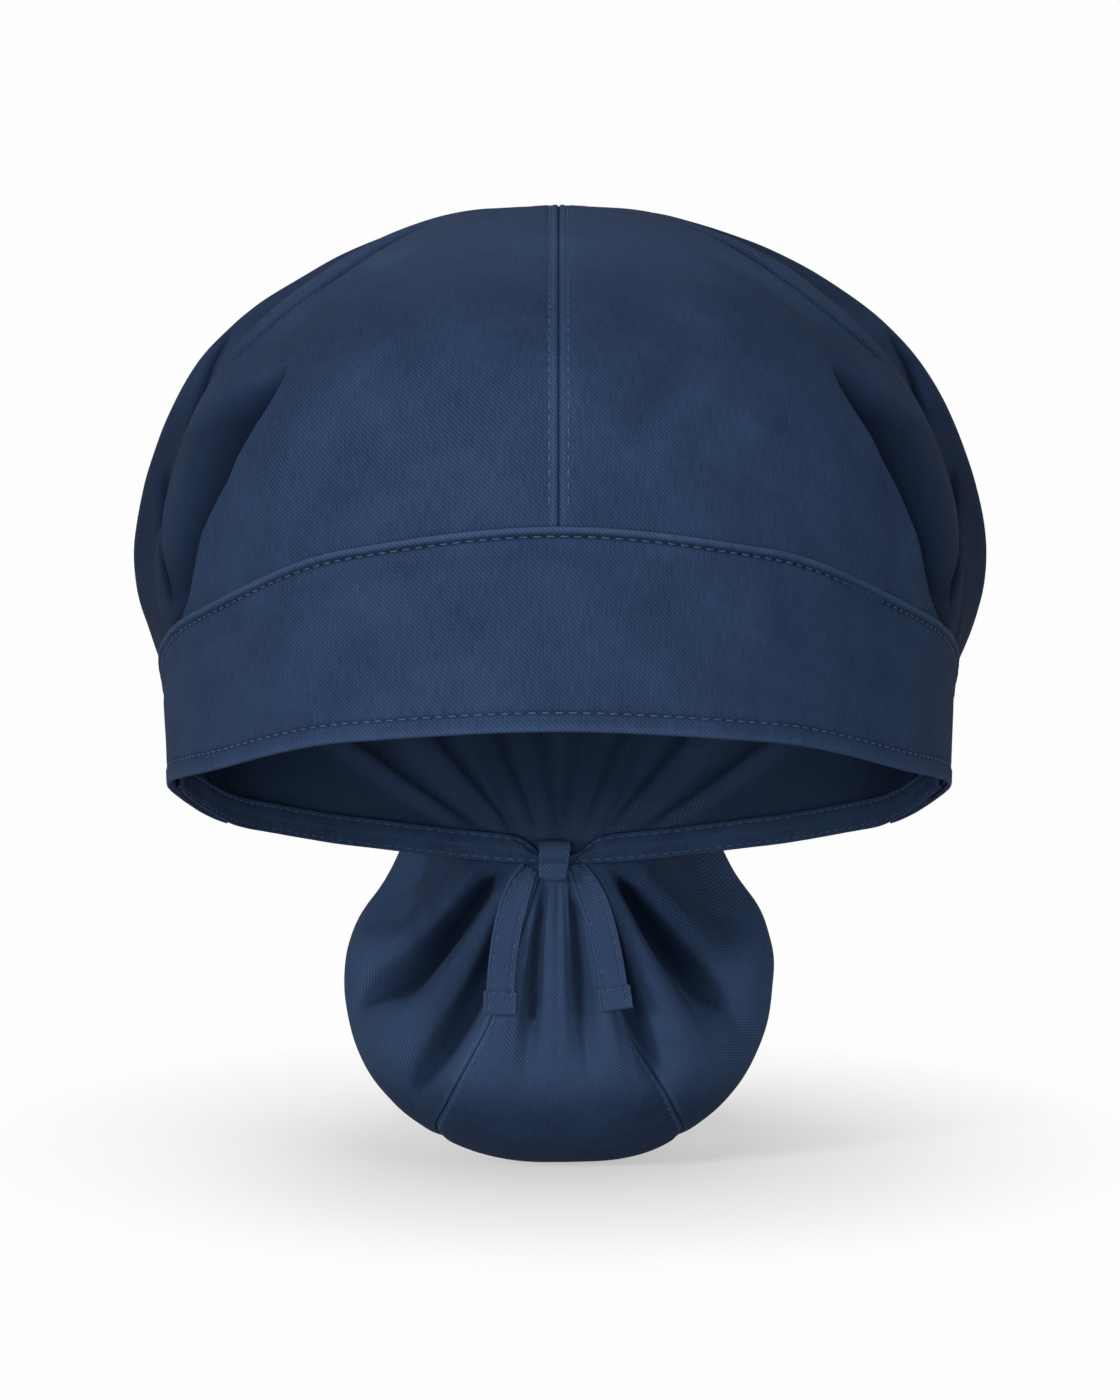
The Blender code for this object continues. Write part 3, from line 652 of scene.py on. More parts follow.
def make_thread():
    """Sewing thread: a shade paler than the cloth, with a soft shine and a twist."""
    thread = Nodes("navy_thread")
    place = thread.add("TexCoord").outputs["Object"]
    tone = thread.noise(place, 900.0, 2.0)
    colour = thread.mix(thread.spread(tone, 0.3, 0.7, 0.0, 1.0), TWILL_LIGHT, THREAD_NAVY)
    twist = thread.noise(place, 5000.0, 1.0)
    relief = thread.add("Bump", Height=twist, Strength=0.4, Distance=RIDGE_HEIGHT).outputs[0]
    thread.finish({"Base Color": colour, "Normal": relief, **THREAD_SURFACE})
    return thread.material


navy_twill = make_twill()
navy_thread = make_thread()
print("materials:", navy_twill.name, navy_thread.name)

# %% [markdown]
# ## Laying a cloth piece
# A cut piece of cloth is a grid of points. It becomes a mesh with the grain, the wear and the
# painted light and shade kept at each point, and a Solidify modifier gives it the cloth's
# thickness. Each piece takes the place of its plain solid, which stays hidden and still does the
# touching.

# %% Grids into cloth
CLOTH_THICKNESS = 0.0006


def lay_cloth(name, grid, grain, wear_and_painted_shading, thickness, turned=False):
    """A cloth piece through a grid of points, thickened inwards."""
    rows, columns = grid.shape[:2]
    number = np.arange(rows * columns).reshape(rows, columns)
    corners = (number[:-1, :-1], number[:-1, 1:], number[1:, 1:], number[1:, :-1])
    squares = np.stack(corners, axis=-1).reshape(-1, 4)
    if turned:
        squares = squares[:, ::-1]
    mesh = bpy.data.meshes.new(name)
    mesh.from_pydata(grid.reshape(-1, 3).tolist(), [], squares.tolist())
    mesh.shade_smooth()
    place = np.zeros((rows * columns, 3))
    place[:, :2] = grain.reshape(-1, 2)
    kept_grain = mesh.attributes.new("grain", "FLOAT_VECTOR", "POINT")
    kept_grain.data.foreach_set("vector", place.ravel())
    kept_wear_and_painted_shading = mesh.attributes.new("wear_and_painted_shading", "FLOAT", "POINT")
    kept_wear_and_painted_shading.data.foreach_set("value", np.broadcast_to(wear_and_painted_shading, (rows, columns)).ravel())
    piece = bpy.data.objects.new(name, mesh)
    bpy.context.scene.collection.objects.link(piece)
    mesh.materials.append(navy_twill)
    cloth = piece.modifiers.new("Cloth thickness", "SOLIDIFY")
    cloth.thickness = thickness
    cloth.offset = -1.0
    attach(piece, "root")
    print(name, "points:", rows * columns)
    return piece


def cut_grain(grid, middle=0):
    """Grain of a piece: distance across from its middle column and up along that column."""
    across = np.linalg.norm(np.diff(grid, axis=1), axis=-1).cumsum(axis=1)
    across = np.concatenate([np.zeros((len(grid), 1)), across], axis=1)
    across = across - across[:, middle][:, None]
    up = np.linalg.norm(np.diff(grid[:, middle], axis=0), axis=-1).cumsum()
    up = np.broadcast_to(np.concatenate([[0.0], up])[:, None], across.shape)
    return np.stack([across, up], axis=-1)


def spread_out(total, first, count, last, crowd=1.0):
    """Places over a width: at set distances from both ends, and a crowd near one of them."""
    total = np.atleast_1d(total)
    first, last = np.asarray(first), np.asarray(last)
    room = np.minimum(1, 0.9 * total / (first[-1] + last[-1]))
    start = first[:, None] * room
    end = total - last[::-1, None] * room
    share = np.linspace(0, 1, count + 2)[1:-1, None]
    share = share**crowd if crowd < 1 else 1 - (1 - share) ** (1 / crowd)
    between = start[-1] + (end[0] - start[-1]) * share
    return np.concatenate([start, between, end])


# %% [markdown]
# ## A row of stitches
# Each stitch is a short float of thread that rises between two needle holes. A bevelled curve
# with dashes would do from afar. Here each stitch is a small capsule whose ends dip into the
# cloth, and a whole seam's stitches are one mesh.

# %% Stitches along a path
STITCH_LENGTH = 0.0021
THREAD_WIDTH = 0.00038
STITCH_SHAPE = {
    "along": (0.0, 0.16, 0.5, 0.84, 1.0),
    "lift": (-1.0, 0.10, 0.40, 0.10, -1.0),
    "girth": (0.45, 0.95, 1.0, 0.95, 0.45),
}
THREAD_SIDES = 6


def sew(name, path, outward, pitch=STITCH_PITCH, length=STITCH_LENGTH):
    """Stitches along a path of points, each with the direction that its cloth faces."""
    run = np.concatenate([[0.0], np.linalg.norm(np.diff(path, axis=0), axis=-1).cumsum()])
    count = int(run[-1] / pitch)
    start = (np.arange(count) + 0.5 * (1 - length / pitch)) * pitch
    place = start[:, None] + length * np.array(STITCH_SHAPE["along"])
    centre = np.stack([np.interp(place, run, path[:, i]) for i in range(3)], axis=-1)
    up = np.stack([np.interp(place, run, outward[:, i]) for i in range(3)], axis=-1)
    ahead = np.gradient(centre, axis=1)
    aside = np.cross(ahead, up)
    aside = aside / np.linalg.norm(aside, axis=-1, keepdims=True)
    lift = np.array(STITCH_SHAPE["lift"])[None, :, None] * THREAD_WIDTH / 2
    girth = np.array(STITCH_SHAPE["girth"])[None, :, None, None] * THREAD_WIDTH / 2
    turn = np.linspace(0, 2 * np.pi, THREAD_SIDES, endpoint=False)[None, None, :, None]
    ring = aside[:, :, None] * np.cos(turn) + 0.8 * up[:, :, None] * np.sin(turn)
    points = (centre + up * lift)[:, :, None] + ring * girth
    rings = len(STITCH_SHAPE["along"])
    number = np.arange(points[..., 0].size).reshape(count, rings, THREAD_SIDES)
    after = np.roll(number, -1, axis=2)
    sides = np.stack([number[:, :-1], after[:, :-1], after[:, 1:], number[:, 1:]], axis=-1)
    caps = np.concatenate([number[:, 0, ::-1], number[:, -1]])
    mesh = bpy.data.meshes.new(name)
    mesh.from_pydata(points.reshape(-1, 3).tolist(), [],
                     sides.reshape(-1, 4)[:, ::-1].tolist() + caps[:, ::-1].tolist())
    mesh.shade_smooth()
    mesh.materials.append(navy_thread)
    stitches = bpy.data.objects.new(name, mesh)
    bpy.context.scene.collection.objects.link(stitches)
    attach(stitches, "root")
    print(name, "stitches:", count)
    return stitches


# %% [markdown]
# ## The front band
# The band is a long strip, folded double. Its top edge is turned over the crown's raw edge and
# stitched down, which leaves a raised ridge, and its lower edge has a deep stitched hem. The
# seam allowance inside shows as a faint line below the ridge. The band is one sheet of cloth
# with relief, because its two layers never part.

# %% Band: ridge, hem and faint allowance line
BAND_THICKNESS = 0.0015
RIDGE_WIDTH = 0.0019
RIDGE_LIFT = 0.00055
HEM_WIDTH = 0.0041
HEM_LIFT = 0.00022
ALLOWANCE_WIDTH = 0.0076
ALLOWANCE_LIFT = 0.00030
FOLD_RADIUS = 0.0006
BAND_WAVE = 0.0005
BAND_FINE_WAVE = 0.00012
ALLOWANCE_GROOVE = 0.00030
GROOVE_WIDTH = 0.0013
RIDGE_STITCH = RIDGE_WIDTH + 0.0003
RIM_SAG = 0.0009
BAND_COLUMNS = 430
BAND_MIDDLE_ROWS = 22


def rim_sag(angle):
    """The soft rim hangs a little lower behind the ears than the plain model's."""
    around = from_brow(angle)
    return RIM_SAG * ease(around, 80, 105) * (1 - ease(around, 114, 138))


def band_point(angle, up):
    """A point of the band's smooth outer side, at a height above the rim."""
    x, y = head_outline(angle, up, 0.0)
    return np.stack(np.broadcast_arrays(x, y, rim_height(angle) + up - rim_sag(angle)), axis=-1)


def band_skin(angle, up):
    """The band's outer side with its ridge, hem, stitching and soft waves."""
    angle, up = paired(angle, up)
    base = band_point(angle, up)
    run = np.radians(angle) * BAND_HALF_DEPTH
    below_top = band_height(angle) - up
    room = np.clip(band_height(angle) / BAND_FRONT_HEIGHT, 0.2, 1.0)
    ridge = RIDGE_LIFT * (1 - ease(below_top, RIDGE_WIDTH - 0.0005, RIDGE_WIDTH))
    hem = HEM_LIFT * (1 - ease(up, HEM_WIDTH - 0.0008, HEM_WIDTH))
    allowance = 1 - ease(below_top, ALLOWANCE_WIDTH - 0.0018, ALLOWANCE_WIDTH)
    shadow = -ALLOWANCE_GROOVE * bump(below_top - ALLOWANCE_WIDTH, GROOVE_WIDTH)
    soft = ease(band_height(angle), 0.012, 0.022)
    lift = ridge + hem + (ALLOWANCE_LIFT * allowance + shadow) * soft
    lift = lift + stitched(below_top - RIDGE_STITCH, run, seed=11) * room
    lift = lift + stitched(up - HEM_WIDTH, run, seed=23, pucker=0.8) * room
    lift = lift + rolled_edge(up, FOLD_RADIUS) + rolled_edge(below_top, FOLD_RADIUS)
    middle = np.clip(4 * up * below_top / band_height(angle) ** 2, 0, 1)
    lift = lift + BAND_WAVE * middle * rumple(base, size=0.035, seed=5)
    lift = lift + BAND_FINE_WAVE * rumple(base, size=0.009, seed=6)
    turn = np.radians(angle)
    out = (np.sin(turn) * BAND_HALF_DEPTH, -np.cos(turn) * BAND_HALF_WIDTH, 0 * turn)
    out = np.stack(out, axis=-1)
    out = out / np.linalg.norm(out, axis=-1, keepdims=True)
    return base + out * lift[..., None]


print("band at the brow, mm:", np.round(1000 * band_skin(0.0, 0.02), 1))

# %% [markdown]
# ## Laying and stitching the band
# The rows crowd where the hem and the ridge have their stitching and stand apart between
# them. The stitches follow the very same skin, so they sit at the bottom of their channels.

# %% The band and its stitches
RIM_PLACES = (0.0, 0.0002, 0.0005, 0.0009, 0.0016, 0.0024, 0.0031, 0.0036, 0.0040, 0.0044,
              0.0049)
TOP_PLACES = (0.0, 0.0002, 0.0004, 0.0008, 0.0012, 0.0015, 0.0018, 0.0021, 0.0024, 0.0028,
              0.0034)
band_angles = np.linspace(-BAND_END, BAND_END, BAND_COLUMNS)
band_up = spread_out(band_height(band_angles), RIM_PLACES, BAND_MIDDLE_ROWS, TOP_PLACES)
band_grid = band_skin(band_angles[None, :], band_up)
band_middle = len(band_angles) // 2
below_top = band_height(band_angles) - band_up
# Paler along the folded ridge and the rim, partly rubbed wear and partly painted highlight, and
# painted shade in the two stitch channels.
band_wear_and_painted_shading = 0.50 * bump(below_top - 0.0004, 0.0009) + 0.30 * bump(band_up - 0.0006, 0.0012)
band_wear_and_painted_shading = band_wear_and_painted_shading - 0.9 * bump(below_top - RIDGE_STITCH, 0.0004)
band_wear_and_painted_shading = band_wear_and_painted_shading - 0.6 * bump(band_up - HEM_WIDTH, 0.0004)
band = lay_cloth("band_cloth", band_grid, cut_grain(band_grid, band_middle), band_wear_and_painted_shading,
                 BAND_THICKNESS)
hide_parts("front_band")


def edge_path(skin, angles, up, outward=1):
    """A path over a skin, with the direction that it faces."""
    return skin(angles, up), facing(skin, angles, up, outward)


stitch_angles = np.linspace(-112, 112, 900)
hem_path = edge_path(band_skin, stitch_angles, np.full(900, HEM_WIDTH))
sew("band_hem_stitching", *hem_path)
ridge_path = edge_path(band_skin, stitch_angles, band_height(stitch_angles) - RIDGE_STITCH)
sew("band_ridge_stitching", *ridge_path)

# %% [markdown]
# ## The crown's panels
# Two front panels meet at a centre seam, and a fuller back panel runs from ear to ear. Besides
# the deep temple pleats, the cloth has shallow dents, drag lines and creases that fall at the
# same places on every wearing. They are listed as lines on the crown and laid on as relief.
# A sculpting brush would do the same by hand, but could not be read back.

# %% Crown: folds, seams and puckers as relief
CENTRE_STITCH = 0.0020
CROWN_RUN = 0.145
CROWN_FULL = 0.0012
CENTRE_DIP = 0.014
EAR_DIP = 0.0005
EAR_DIP_WIDTH = 0.0030
PUCKER_LIFT = 0.00036
PUCKER_FADE = 0.010
EASED_LIFT = 0.00055
CROWN_WAVE = 0.0010
CROWN_FINE_WAVE = 0.00016
POCKET_DEPTH = 0.0042
POCKET_WIDTHS = (0.8, 6.5)
POCKET_SHADE_WIDTHS = (0.8, 24.0)
INNER_GATHER_DEPTH = 0.0030
SOFT_SHADE = 0.20
CROWN_FOLDS = {
    "name": ("ridge groove", "second crease", "side fold", "left dent", "right dent",
             "right drag", "short drag", "left ripple", "right ripple", "left hollow"),
    "side": ("both", "both", "both", "left", "right",
             "right", "right", "left", "right", "left"),
    "path": (((60, 0.84), (62, 0.72), (62, 0.62), (64, 0.53), (68, 0.46), (74, 0.42)),
             ((98, 0.54), (94, 0.47), (90, 0.41), (87, 0.35)),
             ((93, 0.32), (88, 0.25), (81, 0.16), (77, 0.09), (76, 0.02)),
             ((43, 0.66), (46, 0.58), (52, 0.45), (66, 0.43)),
             ((40, 0.66), (44, 0.57), (50, 0.46), (62, 0.44)),
             ((24, 0.42), (19, 0.30), (13.8, 0.17), (8, 0.03)),
             ((34, 0.28), (24, 0.17), (16, 0.06)),
             ((58, 0.02), (55, 0.09), (50, 0.18)),
             ((57, 0.02), (53, 0.10), (47, 0.19)),
             ((30, 0.30), (24, 0.22), (20, 0.10))),
    "depth_mm": (2.8, 2.2, 2.6, 2.2, 1.6, 2.4, 1.1, 1.0, 1.0, 1.0),
    "front_mm": (1.0, 1.3, 1.4, 8.0, 7.0, 6.0, 5.0, 3.0, 3.0, 8.0),
    "back_mm": (4.5, 3.5, 5.0, 8.0, 7.0, 9.0, 6.0, 4.0, 4.0, 8.0),
    "sharp": (True, True, True, False, False, False, False, False, False, False),
}


def fold_line(path, side):
    """Points on the crown along a fold's path."""
    knots = np.array(path, float)
    share = np.linspace(0, 1, len(knots))
    rows = {"share": share, "angle": knots[:, 0], "rise": knots[:, 1]}
    dense = np.linspace(0, 1, 8 * len(knots))
    angle = through(rows, "share", "angle", dense, level_ends=False)
    return crown_point(side * angle, through(rows, "share", "rise", dense, level_ends=False))


def crown_folds(base, out):
    """Depth of all the listed folds, in metres, and the painted shade that goes with them,
    fullest in the sharp ones.
    """
    depth = np.zeros(base.shape[:-1])
    shade = np.zeros(base.shape[:-1])
    for fold in zip(*CROWN_FOLDS.values()):
        which, path, deep, front, back, sharp = fold[1:]
        for side in {"both": (-1, 1), "left": (-1,), "right": (1,)}[which]:
            line = fold_line(path, side)
            ahead, behind = (front, back) if side > 0 else (back, front)
            share = crease(base, out, line, ahead / 1000, behind / 1000, sharp)
            depth = depth + share * deep / 1000
            shade = shade + share * (1.0 if sharp else SOFT_SHADE)
    return depth, shade


print("folds listed:", len(CROWN_FOLDS["name"]))

# %% [markdown]
# ## The crown's relief
# The seams, the stitching's puckers, the listed folds and soft rumples are added up into one
# height for each point. The same folds tell where painted shade darkens the cloth.

# %% The crown's skin
def crown_relief(angle, rise, base, out):
    """Relief of the crown's cloth: seams, puckers, folds and rumples."""
    around = from_brow(angle)
    degree = degree_length(crown_point, angle, rise)
    run = rise * CROWN_RUN
    centre = around * degree
    ear = np.abs(around - EAR_SEAM) * degree
    lift = rolled_edge(centre) + rolled_edge(ear)
    full = ease(rise, 0.02, 0.15) * (1 - 0.85 * ease(rise, 0.42, 0.62))
    full = full + 0.3 * ease(rise, 0.62, 0.74) * (1 - ease(rise, 0.84, 0.96))
    lift = lift + CROWN_FULL * full * (1 - 0.8 * bump(centre, CENTRE_DIP))
    lift = lift + stitched(centre - CENTRE_STITCH, run, seed=31, pucker=0.8) * (around < 60)
    lift = lift - EAR_DIP * bump(ear, EAR_DIP_WIDTH)
    top = ease(rise, 0.55, 0.80) * (1 - ease(rise, 0.95, 0.99))
    low = 1 - ease(rise, 0.02, 0.16)
    puckers = ripple(run, size=0.0040, seed=41) + 0.6 * ripple(run, size=0.0022, seed=42)
    lift = lift + PUCKER_LIFT * puckers * (top + 0.6 * low) * np.exp(-centre / PUCKER_FADE)
    height = np.linalg.norm(base - crown_point(angle, 0 * rise), axis=-1)
    eased = ripple(np.radians(angle) * 0.1, size=0.0062, seed=43) * ease(around, 22, 60)
    lift = lift + EASED_LIFT * eased * np.exp(-height / PUCKER_FADE) * (around < BAND_END)
    lift = lift - POCKET_DEPTH * pleat_valley(angle, rise, *POCKET_WIDTHS) * ease(rise, 0.0, 0.03)
    gathers = gather_valleys(angle, np.maximum(rise, 0.05), 0.6, pinch)
    lift = lift - INNER_GATHER_DEPTH * gathers * ease(rise, 0.0, 0.05)
    lift = lift - crown_folds(base, out)[0]
    lift = lift + CROWN_WAVE * rumple(base * (1, 1, 0.6), size=0.030, seed=7)
    return lift + CROWN_FINE_WAVE * rumple(base, size=0.0085, seed=8)


def crown_painted_shade(angle, rise, base, out):
    """Painted shade where the cloth lies folded away from the light, from 0 to 1."""
    around = from_brow(angle)
    pocket = 1.15 * pleat_valley(angle, rise, *POCKET_SHADE_WIDTHS)
    gathers = gather_valleys(angle, np.maximum(rise, 0.05), 0.8, pinch)
    # Painted shade low on each side behind the pleat, where the cloth turns away from the light.
    cheek = ease(around, 70, 88) * (1 - ease(around, 112, 135)) * (1 - ease(rise, 0.30, 0.52))
    deep = pocket + 0.6 * cheek + 0.3 * np.clip(gathers - 0.2, 0, 1)
    return np.clip(deep + 1.3 * np.clip(crown_folds(base, out)[1] - 0.15, 0, 1), 0, 1)


def crown_skin(angle, rise):
    """The crown's outer side as it is seen."""
    angle, rise = paired(angle, rise)
    base = crown_point(angle, rise)
    out = facing(crown_point, angle, rise)
    return base + out * crown_relief(angle, rise, base, out)[..., None]


# %% [markdown]
# A panel's edge turns in along its seam and runs a few millimetres inside as the allowance,
# as it does when sewn. The turned edge also closes the seam, so that no light shows through.
# Painted light makes the cloth paler on top and low on the back by the nape, where the inside is
# seen, and painted shade darkens its folds; a pale line beside each seam is partly rubbed wear
# and partly painted highlight.

# %% Crown panels with turned-in edges
EDGE_PLACES = (0.000005, 0.000008, 0.00002, 0.00010, 0.0003, 0.0005, 0.0008, 0.0013, 0.0017,
               0.0020, 0.0023, 0.0028)
ALLOWANCE_DROPS = (0.0028, 0.0014)
CROWN_TOP = 0.998
FOOT_PLACES = (0.0, 0.0002, 0.003, 0.007, 0.012, 0.018)
FOOT_TUCK = (0.0009, 0.0058)
TOP_PAINTED_LIGHT = 0.55
NAPE_PAINTED_LIGHT = 0.40
SIDE_CROWD = 0.75


def turned_edges(grid, out):
    """Draw the outermost columns inside the seam as its allowance."""
    for column, drop in enumerate(ALLOWANCE_DROPS):
        for side in (column, -1 - column):
            grid[:, side] = grid[:, side] - out[:, side] * drop
    return grid


def tucked_foot(grid, angle):
    """Draw the lowest row down behind the band, where it is sewn in."""
    over_casing, foot = crown_foot(angle[0])
    down = np.clip(foot - BACK_EDGE_RISE, 0, FOOT_TUCK[1])
    inward = -grid[0] * (1, 1, 0) / np.linalg.norm(grid[0, :, :2], axis=-1)[:, None]
    grid[0] = grid[0] + inward * (FOOT_TUCK[0] * (1 - over_casing))[:, None]
    grid[0, :, 2] = grid[0, :, 2] - down
    return grid


def middle_column(grid, middle):
    """Number of the column that a panel's grain runs along."""
    return {"first": 0, "last": -1, "centre": grid.shape[1] // 2}[middle]


def sew_crown_panel(name, node, first, last, columns, rows, middle):
    """A crown panel between two seams, given as angles round the head."""
    rise = np.concatenate([FOOT_PLACES, np.linspace(0.025, CROWN_TOP, rows)])
    halfway = (first + last) / 2
    width = degree_length(crown_point, halfway, rise) * (last - first)
    crowd = {"first": SIDE_CROWD, "last": 1 / SIDE_CROWD, "centre": 1.0}[middle]
    place = spread_out(width, EDGE_PLACES, columns, EDGE_PLACES, crowd) / width
    angle = (first + (last - first) * place).T
    rise = np.broadcast_to(rise[:, None], angle.shape)
    grid = crown_skin(angle, rise)
    grain = cut_grain(grid, middle_column(grid, middle))
    out = facing(crown_point, angle, rise)
    around = from_brow(angle)
    # Painted shade in the folds, and painted light on top of the front panels and low on the back
    # panel by the nape.
    wear_and_painted_shading = -crown_painted_shade(angle, rise, crown_point(angle, rise), out)
    wear_and_painted_shading = wear_and_painted_shading + TOP_PAINTED_LIGHT * ease(rise, 0.36, 0.66) * (around < EAR_SEAM)
    wear_and_painted_shading = wear_and_painted_shading + NAPE_PAINTED_LIGHT * ease(around, 120, 145) * (1 - ease(rise, 0.35, 0.55))
    grid = tucked_foot(turned_edges(grid, out), angle)
    degree = degree_length(crown_point, angle, rise)
    seam = np.minimum(angle - first, last - angle) * degree
    # A pale line beside each seam, partly rubbed wear and partly painted highlight.
    wear_and_painted_shading = wear_and_painted_shading + 0.30 * bump(seam - 0.0012, 0.0008)
    panel = lay_cloth(name, grid, grain, wear_and_painted_shading, CLOTH_THICKNESS)
    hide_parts(node)
    return panel


print("allowance inside a seam, mm:", 1000 * ALLOWANCE_DROPS[0])

# %% [markdown]
# ## Three crown panels
# The two front panels have more columns, because their fine puckers are seen. The grain runs
# along the centre seam in front and up the middle of the back panel.

# %% Sew the crown
detail = 1.0
front_columns = int(205 * detail)
panel_rows = int(170 * detail)
sew_crown_panel("crown_left_cloth", "crown_panel_left", -EAR_SEAM, 0,
                front_columns, panel_rows, "last")
sew_crown_panel("crown_right_cloth", "crown_panel_right", 0, EAR_SEAM,
                front_columns, panel_rows, "first")
back_cloth = sew_crown_panel("crown_back_cloth", "crown_back_panel", EAR_SEAM, 360 - EAR_SEAM,
                             int(250 * detail), int(140 * detail), "centre")

seam_rise = np.linspace(0.012, 0.985, 500)
for name, side in SIDES.items():
    centre_line = side * CENTRE_STITCH / degree_length(crown_point, 0.0, seam_rise)
    sew("centre_stitching_" + name, *edge_path(crown_skin, centre_line, seam_rise))

# %% [markdown]
# ## The mouth of the pouch
# Hair passes from the crown into the pouch through an oval cut in the back panel, hidden from
# the front. The oval is cut with a Boolean, which leaves a clean edge however the cloth bends.

# %% Cut the mouth
MOUTH_HALF_WIDTH = 0.0220
MOUTH_HALF_HEIGHT = 0.0165
MOUTH_RISE = 0.0570
MOUTH_CUT_DEPTH = 0.10
bpy.ops.mesh.primitive_cylinder_add(vertices=64, radius=1, depth=1, rotation=(np.pi / 2, 0, 0))
mouth = bpy.context.object
mouth.name = "mouth_cutter"
mouth.scale = (MOUTH_HALF_WIDTH, MOUTH_HALF_HEIGHT, MOUTH_CUT_DEPTH)
mouth.location = (0, BAND_HALF_DEPTH + CROWN_BACK_BULGE, MOUTH_RISE - RIM_BACK_DROP)
cut = back_cloth.modifiers.new("Mouth", "BOOLEAN")
cut.operation = "DIFFERENCE"
cut.solver = "MANIFOLD"
cut.object = mouth
bpy.context.view_layer.objects.active = back_cloth
for modifier in list(back_cloth.modifiers):
    bpy.ops.object.modifier_apply(modifier=modifier.name)
bpy.data.objects.remove(mouth)
print("back panel faces after the cut:", len(back_cloth.data.polygons))

# %% [markdown]
# ## The tie casing
# Behind the ears the band becomes a narrow casing for the tie. From the front one sees its
# inner face along the back of the rim, stitched near both edges and puckered where the knot
# draws it together. It is a strip of its own, because it lies inside the back panel's edge,
# and its ends run forward inside the band as its facing.

# %% Casing: a stitched strip that bunches up at the knot
CASING_STITCH = 0.0010
CASING_THICKNESS = 0.0013
KNOT_WIDTH = 0.0074
KNOT_OFFSET = -0.0012
CASING_INSET = CROWN_WALL + GAP + CASING_WALL
CASING_DROP = 0.0003
CASING_START = 92.0
BUNCH_REACH = 0.011
BUNCH_BULGE = 0.0014
BUNCH_PUCKER = 0.00060
BUNCH_TWIST = 0.00040
CASING_WAVE = 0.00025
CASING_SHAPE = {
    "angle": (CASING_START, 168, 173, 175, 177, 180),
    "height": (1.16, 1.16, 1.10, 0.86, 0.52, 0.42),
}


def casing_height(angle):
    """Height of the casing strip, which is pinched in at the knot."""
    return CASING_HEIGHT * through(CASING_SHAPE, "angle", "height", from_brow(angle))


def casing_point(angle, share):
    """A point of the casing's smooth inner face: share is 0 at its lower edge."""
    up = casing_height(angle) * share
    x, y = head_outline(angle, up, CASING_INSET)
    z = rim_height(angle) + up - rim_sag(angle)
    z = z - CASING_DROP * bump(from_brow(angle) - 120, 5)
    return np.stack(np.broadcast_arrays(x, y, z), axis=-1)


def casing_skin(angle, share):
    """The casing's inner face with its stitching, and puckers close to the knot."""
    angle, share = paired(angle, share)
    base = casing_point(angle, share)
    out = facing(casing_point, angle, share, -1)
    to_knot = (180 - from_brow(angle)) * np.radians(1) * BAND_HALF_WIDTH - KNOT_WIDTH / 2
    to_knot = np.clip(to_knot, 0, None)
    run = np.radians(angle) * BAND_HALF_WIDTH
    up = share * casing_height(angle)
    below = (1 - share) * casing_height(angle)
    near = np.exp(-to_knot / BUNCH_REACH)
    full = 1 - (2 * share - 1) ** 2
    lift = BUNCH_BULGE * near * full
    lift = lift + BUNCH_PUCKER * near * full * ripple(run, size=0.0024, seed=51)
    lift = lift + BUNCH_TWIST * near * np.sin(share * 9 + 4 * ripple(run, size=0.004, seed=53))
    lift = lift + stitched(up - CASING_STITCH, run, seed=55)
    lift = lift + stitched(below - CASING_STITCH, run, seed=57)
    lift = lift + rolled_edge(up, FOLD_RADIUS) + rolled_edge(below, FOLD_RADIUS)
    lift = lift + CASING_WAVE * rumple(base, size=0.014, seed=9)
    return base + out * lift[..., None]


print("casing at the knot, mm:", round(1000 * float(casing_height(180.0)), 1))

# %% [markdown]
# ## Both halves of the casing
# Each half runs from inside the band to the knot, with its columns crowded where the cloth is
# bunched. Both rows of stitches run on to the knot.

# %% Lay and stitch the casing
CASING_SHARES = (0, 0.03, 0.07, 0.11, 0.15, 0.19, 0.24, 0.32, 0.41, 0.5, 0.59, 0.68, 0.76, 0.81,
                 0.85, 0.89, 0.93, 0.97, 1.0)
for name, side in SIDES.items():
    reach = (KNOT_WIDTH / 2 + side * KNOT_OFFSET - 0.0008) / (BAND_HALF_WIDTH - BAND_FLARE)
    casing_end = 180 - np.degrees(reach)
    near_knot = casing_end - (casing_end - CASING_START) * np.linspace(1, 0, 200) ** 1.4
    angle = side * near_knot[None, :]
    share = np.array(CASING_SHARES)[:, None]
    grid = casing_skin(angle, share)
    # Paler along both folded edges, partly rubbed wear and partly painted highlight.
    wear_and_painted_shading = 0.22 * bump((share - 0.5) / 0.5 - np.sign(share - 0.5), 0.12) + 0 * angle
    strip = lay_cloth("casing_cloth_" + name, grid, cut_grain(grid), wear_and_painted_shading, CASING_THICKNESS,
                      turned=side > 0)
    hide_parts("back_casing_" + name)
    seam_angle = side * np.linspace(CASING_START + 1, casing_end - 0.6, 500)
    share_low = CASING_STITCH / casing_height(seam_angle)
    low = edge_path(casing_skin, seam_angle, share_low, -1)
    high = edge_path(casing_skin, seam_angle, 1 - share_low, -1)
    sew("casing_lower_stitching_" + name, *low)
    sew("casing_upper_stitching_" + name, *high)

# %% [markdown]
# ## The pouch's panels
# The pouch has a centre panel between two princess seams and a side panel on each side, which
# meet behind. Close to the knot the cloth is bunched into many small gathers, and each of the
# big folds has a sharper line at its bottom, where the cloth is pinched. Painted shade darkens
# the folds, the cloth under the casing and the underside, and painted light makes the ridges
# between the folds paler. The edges of the back seam overlap by a hair.

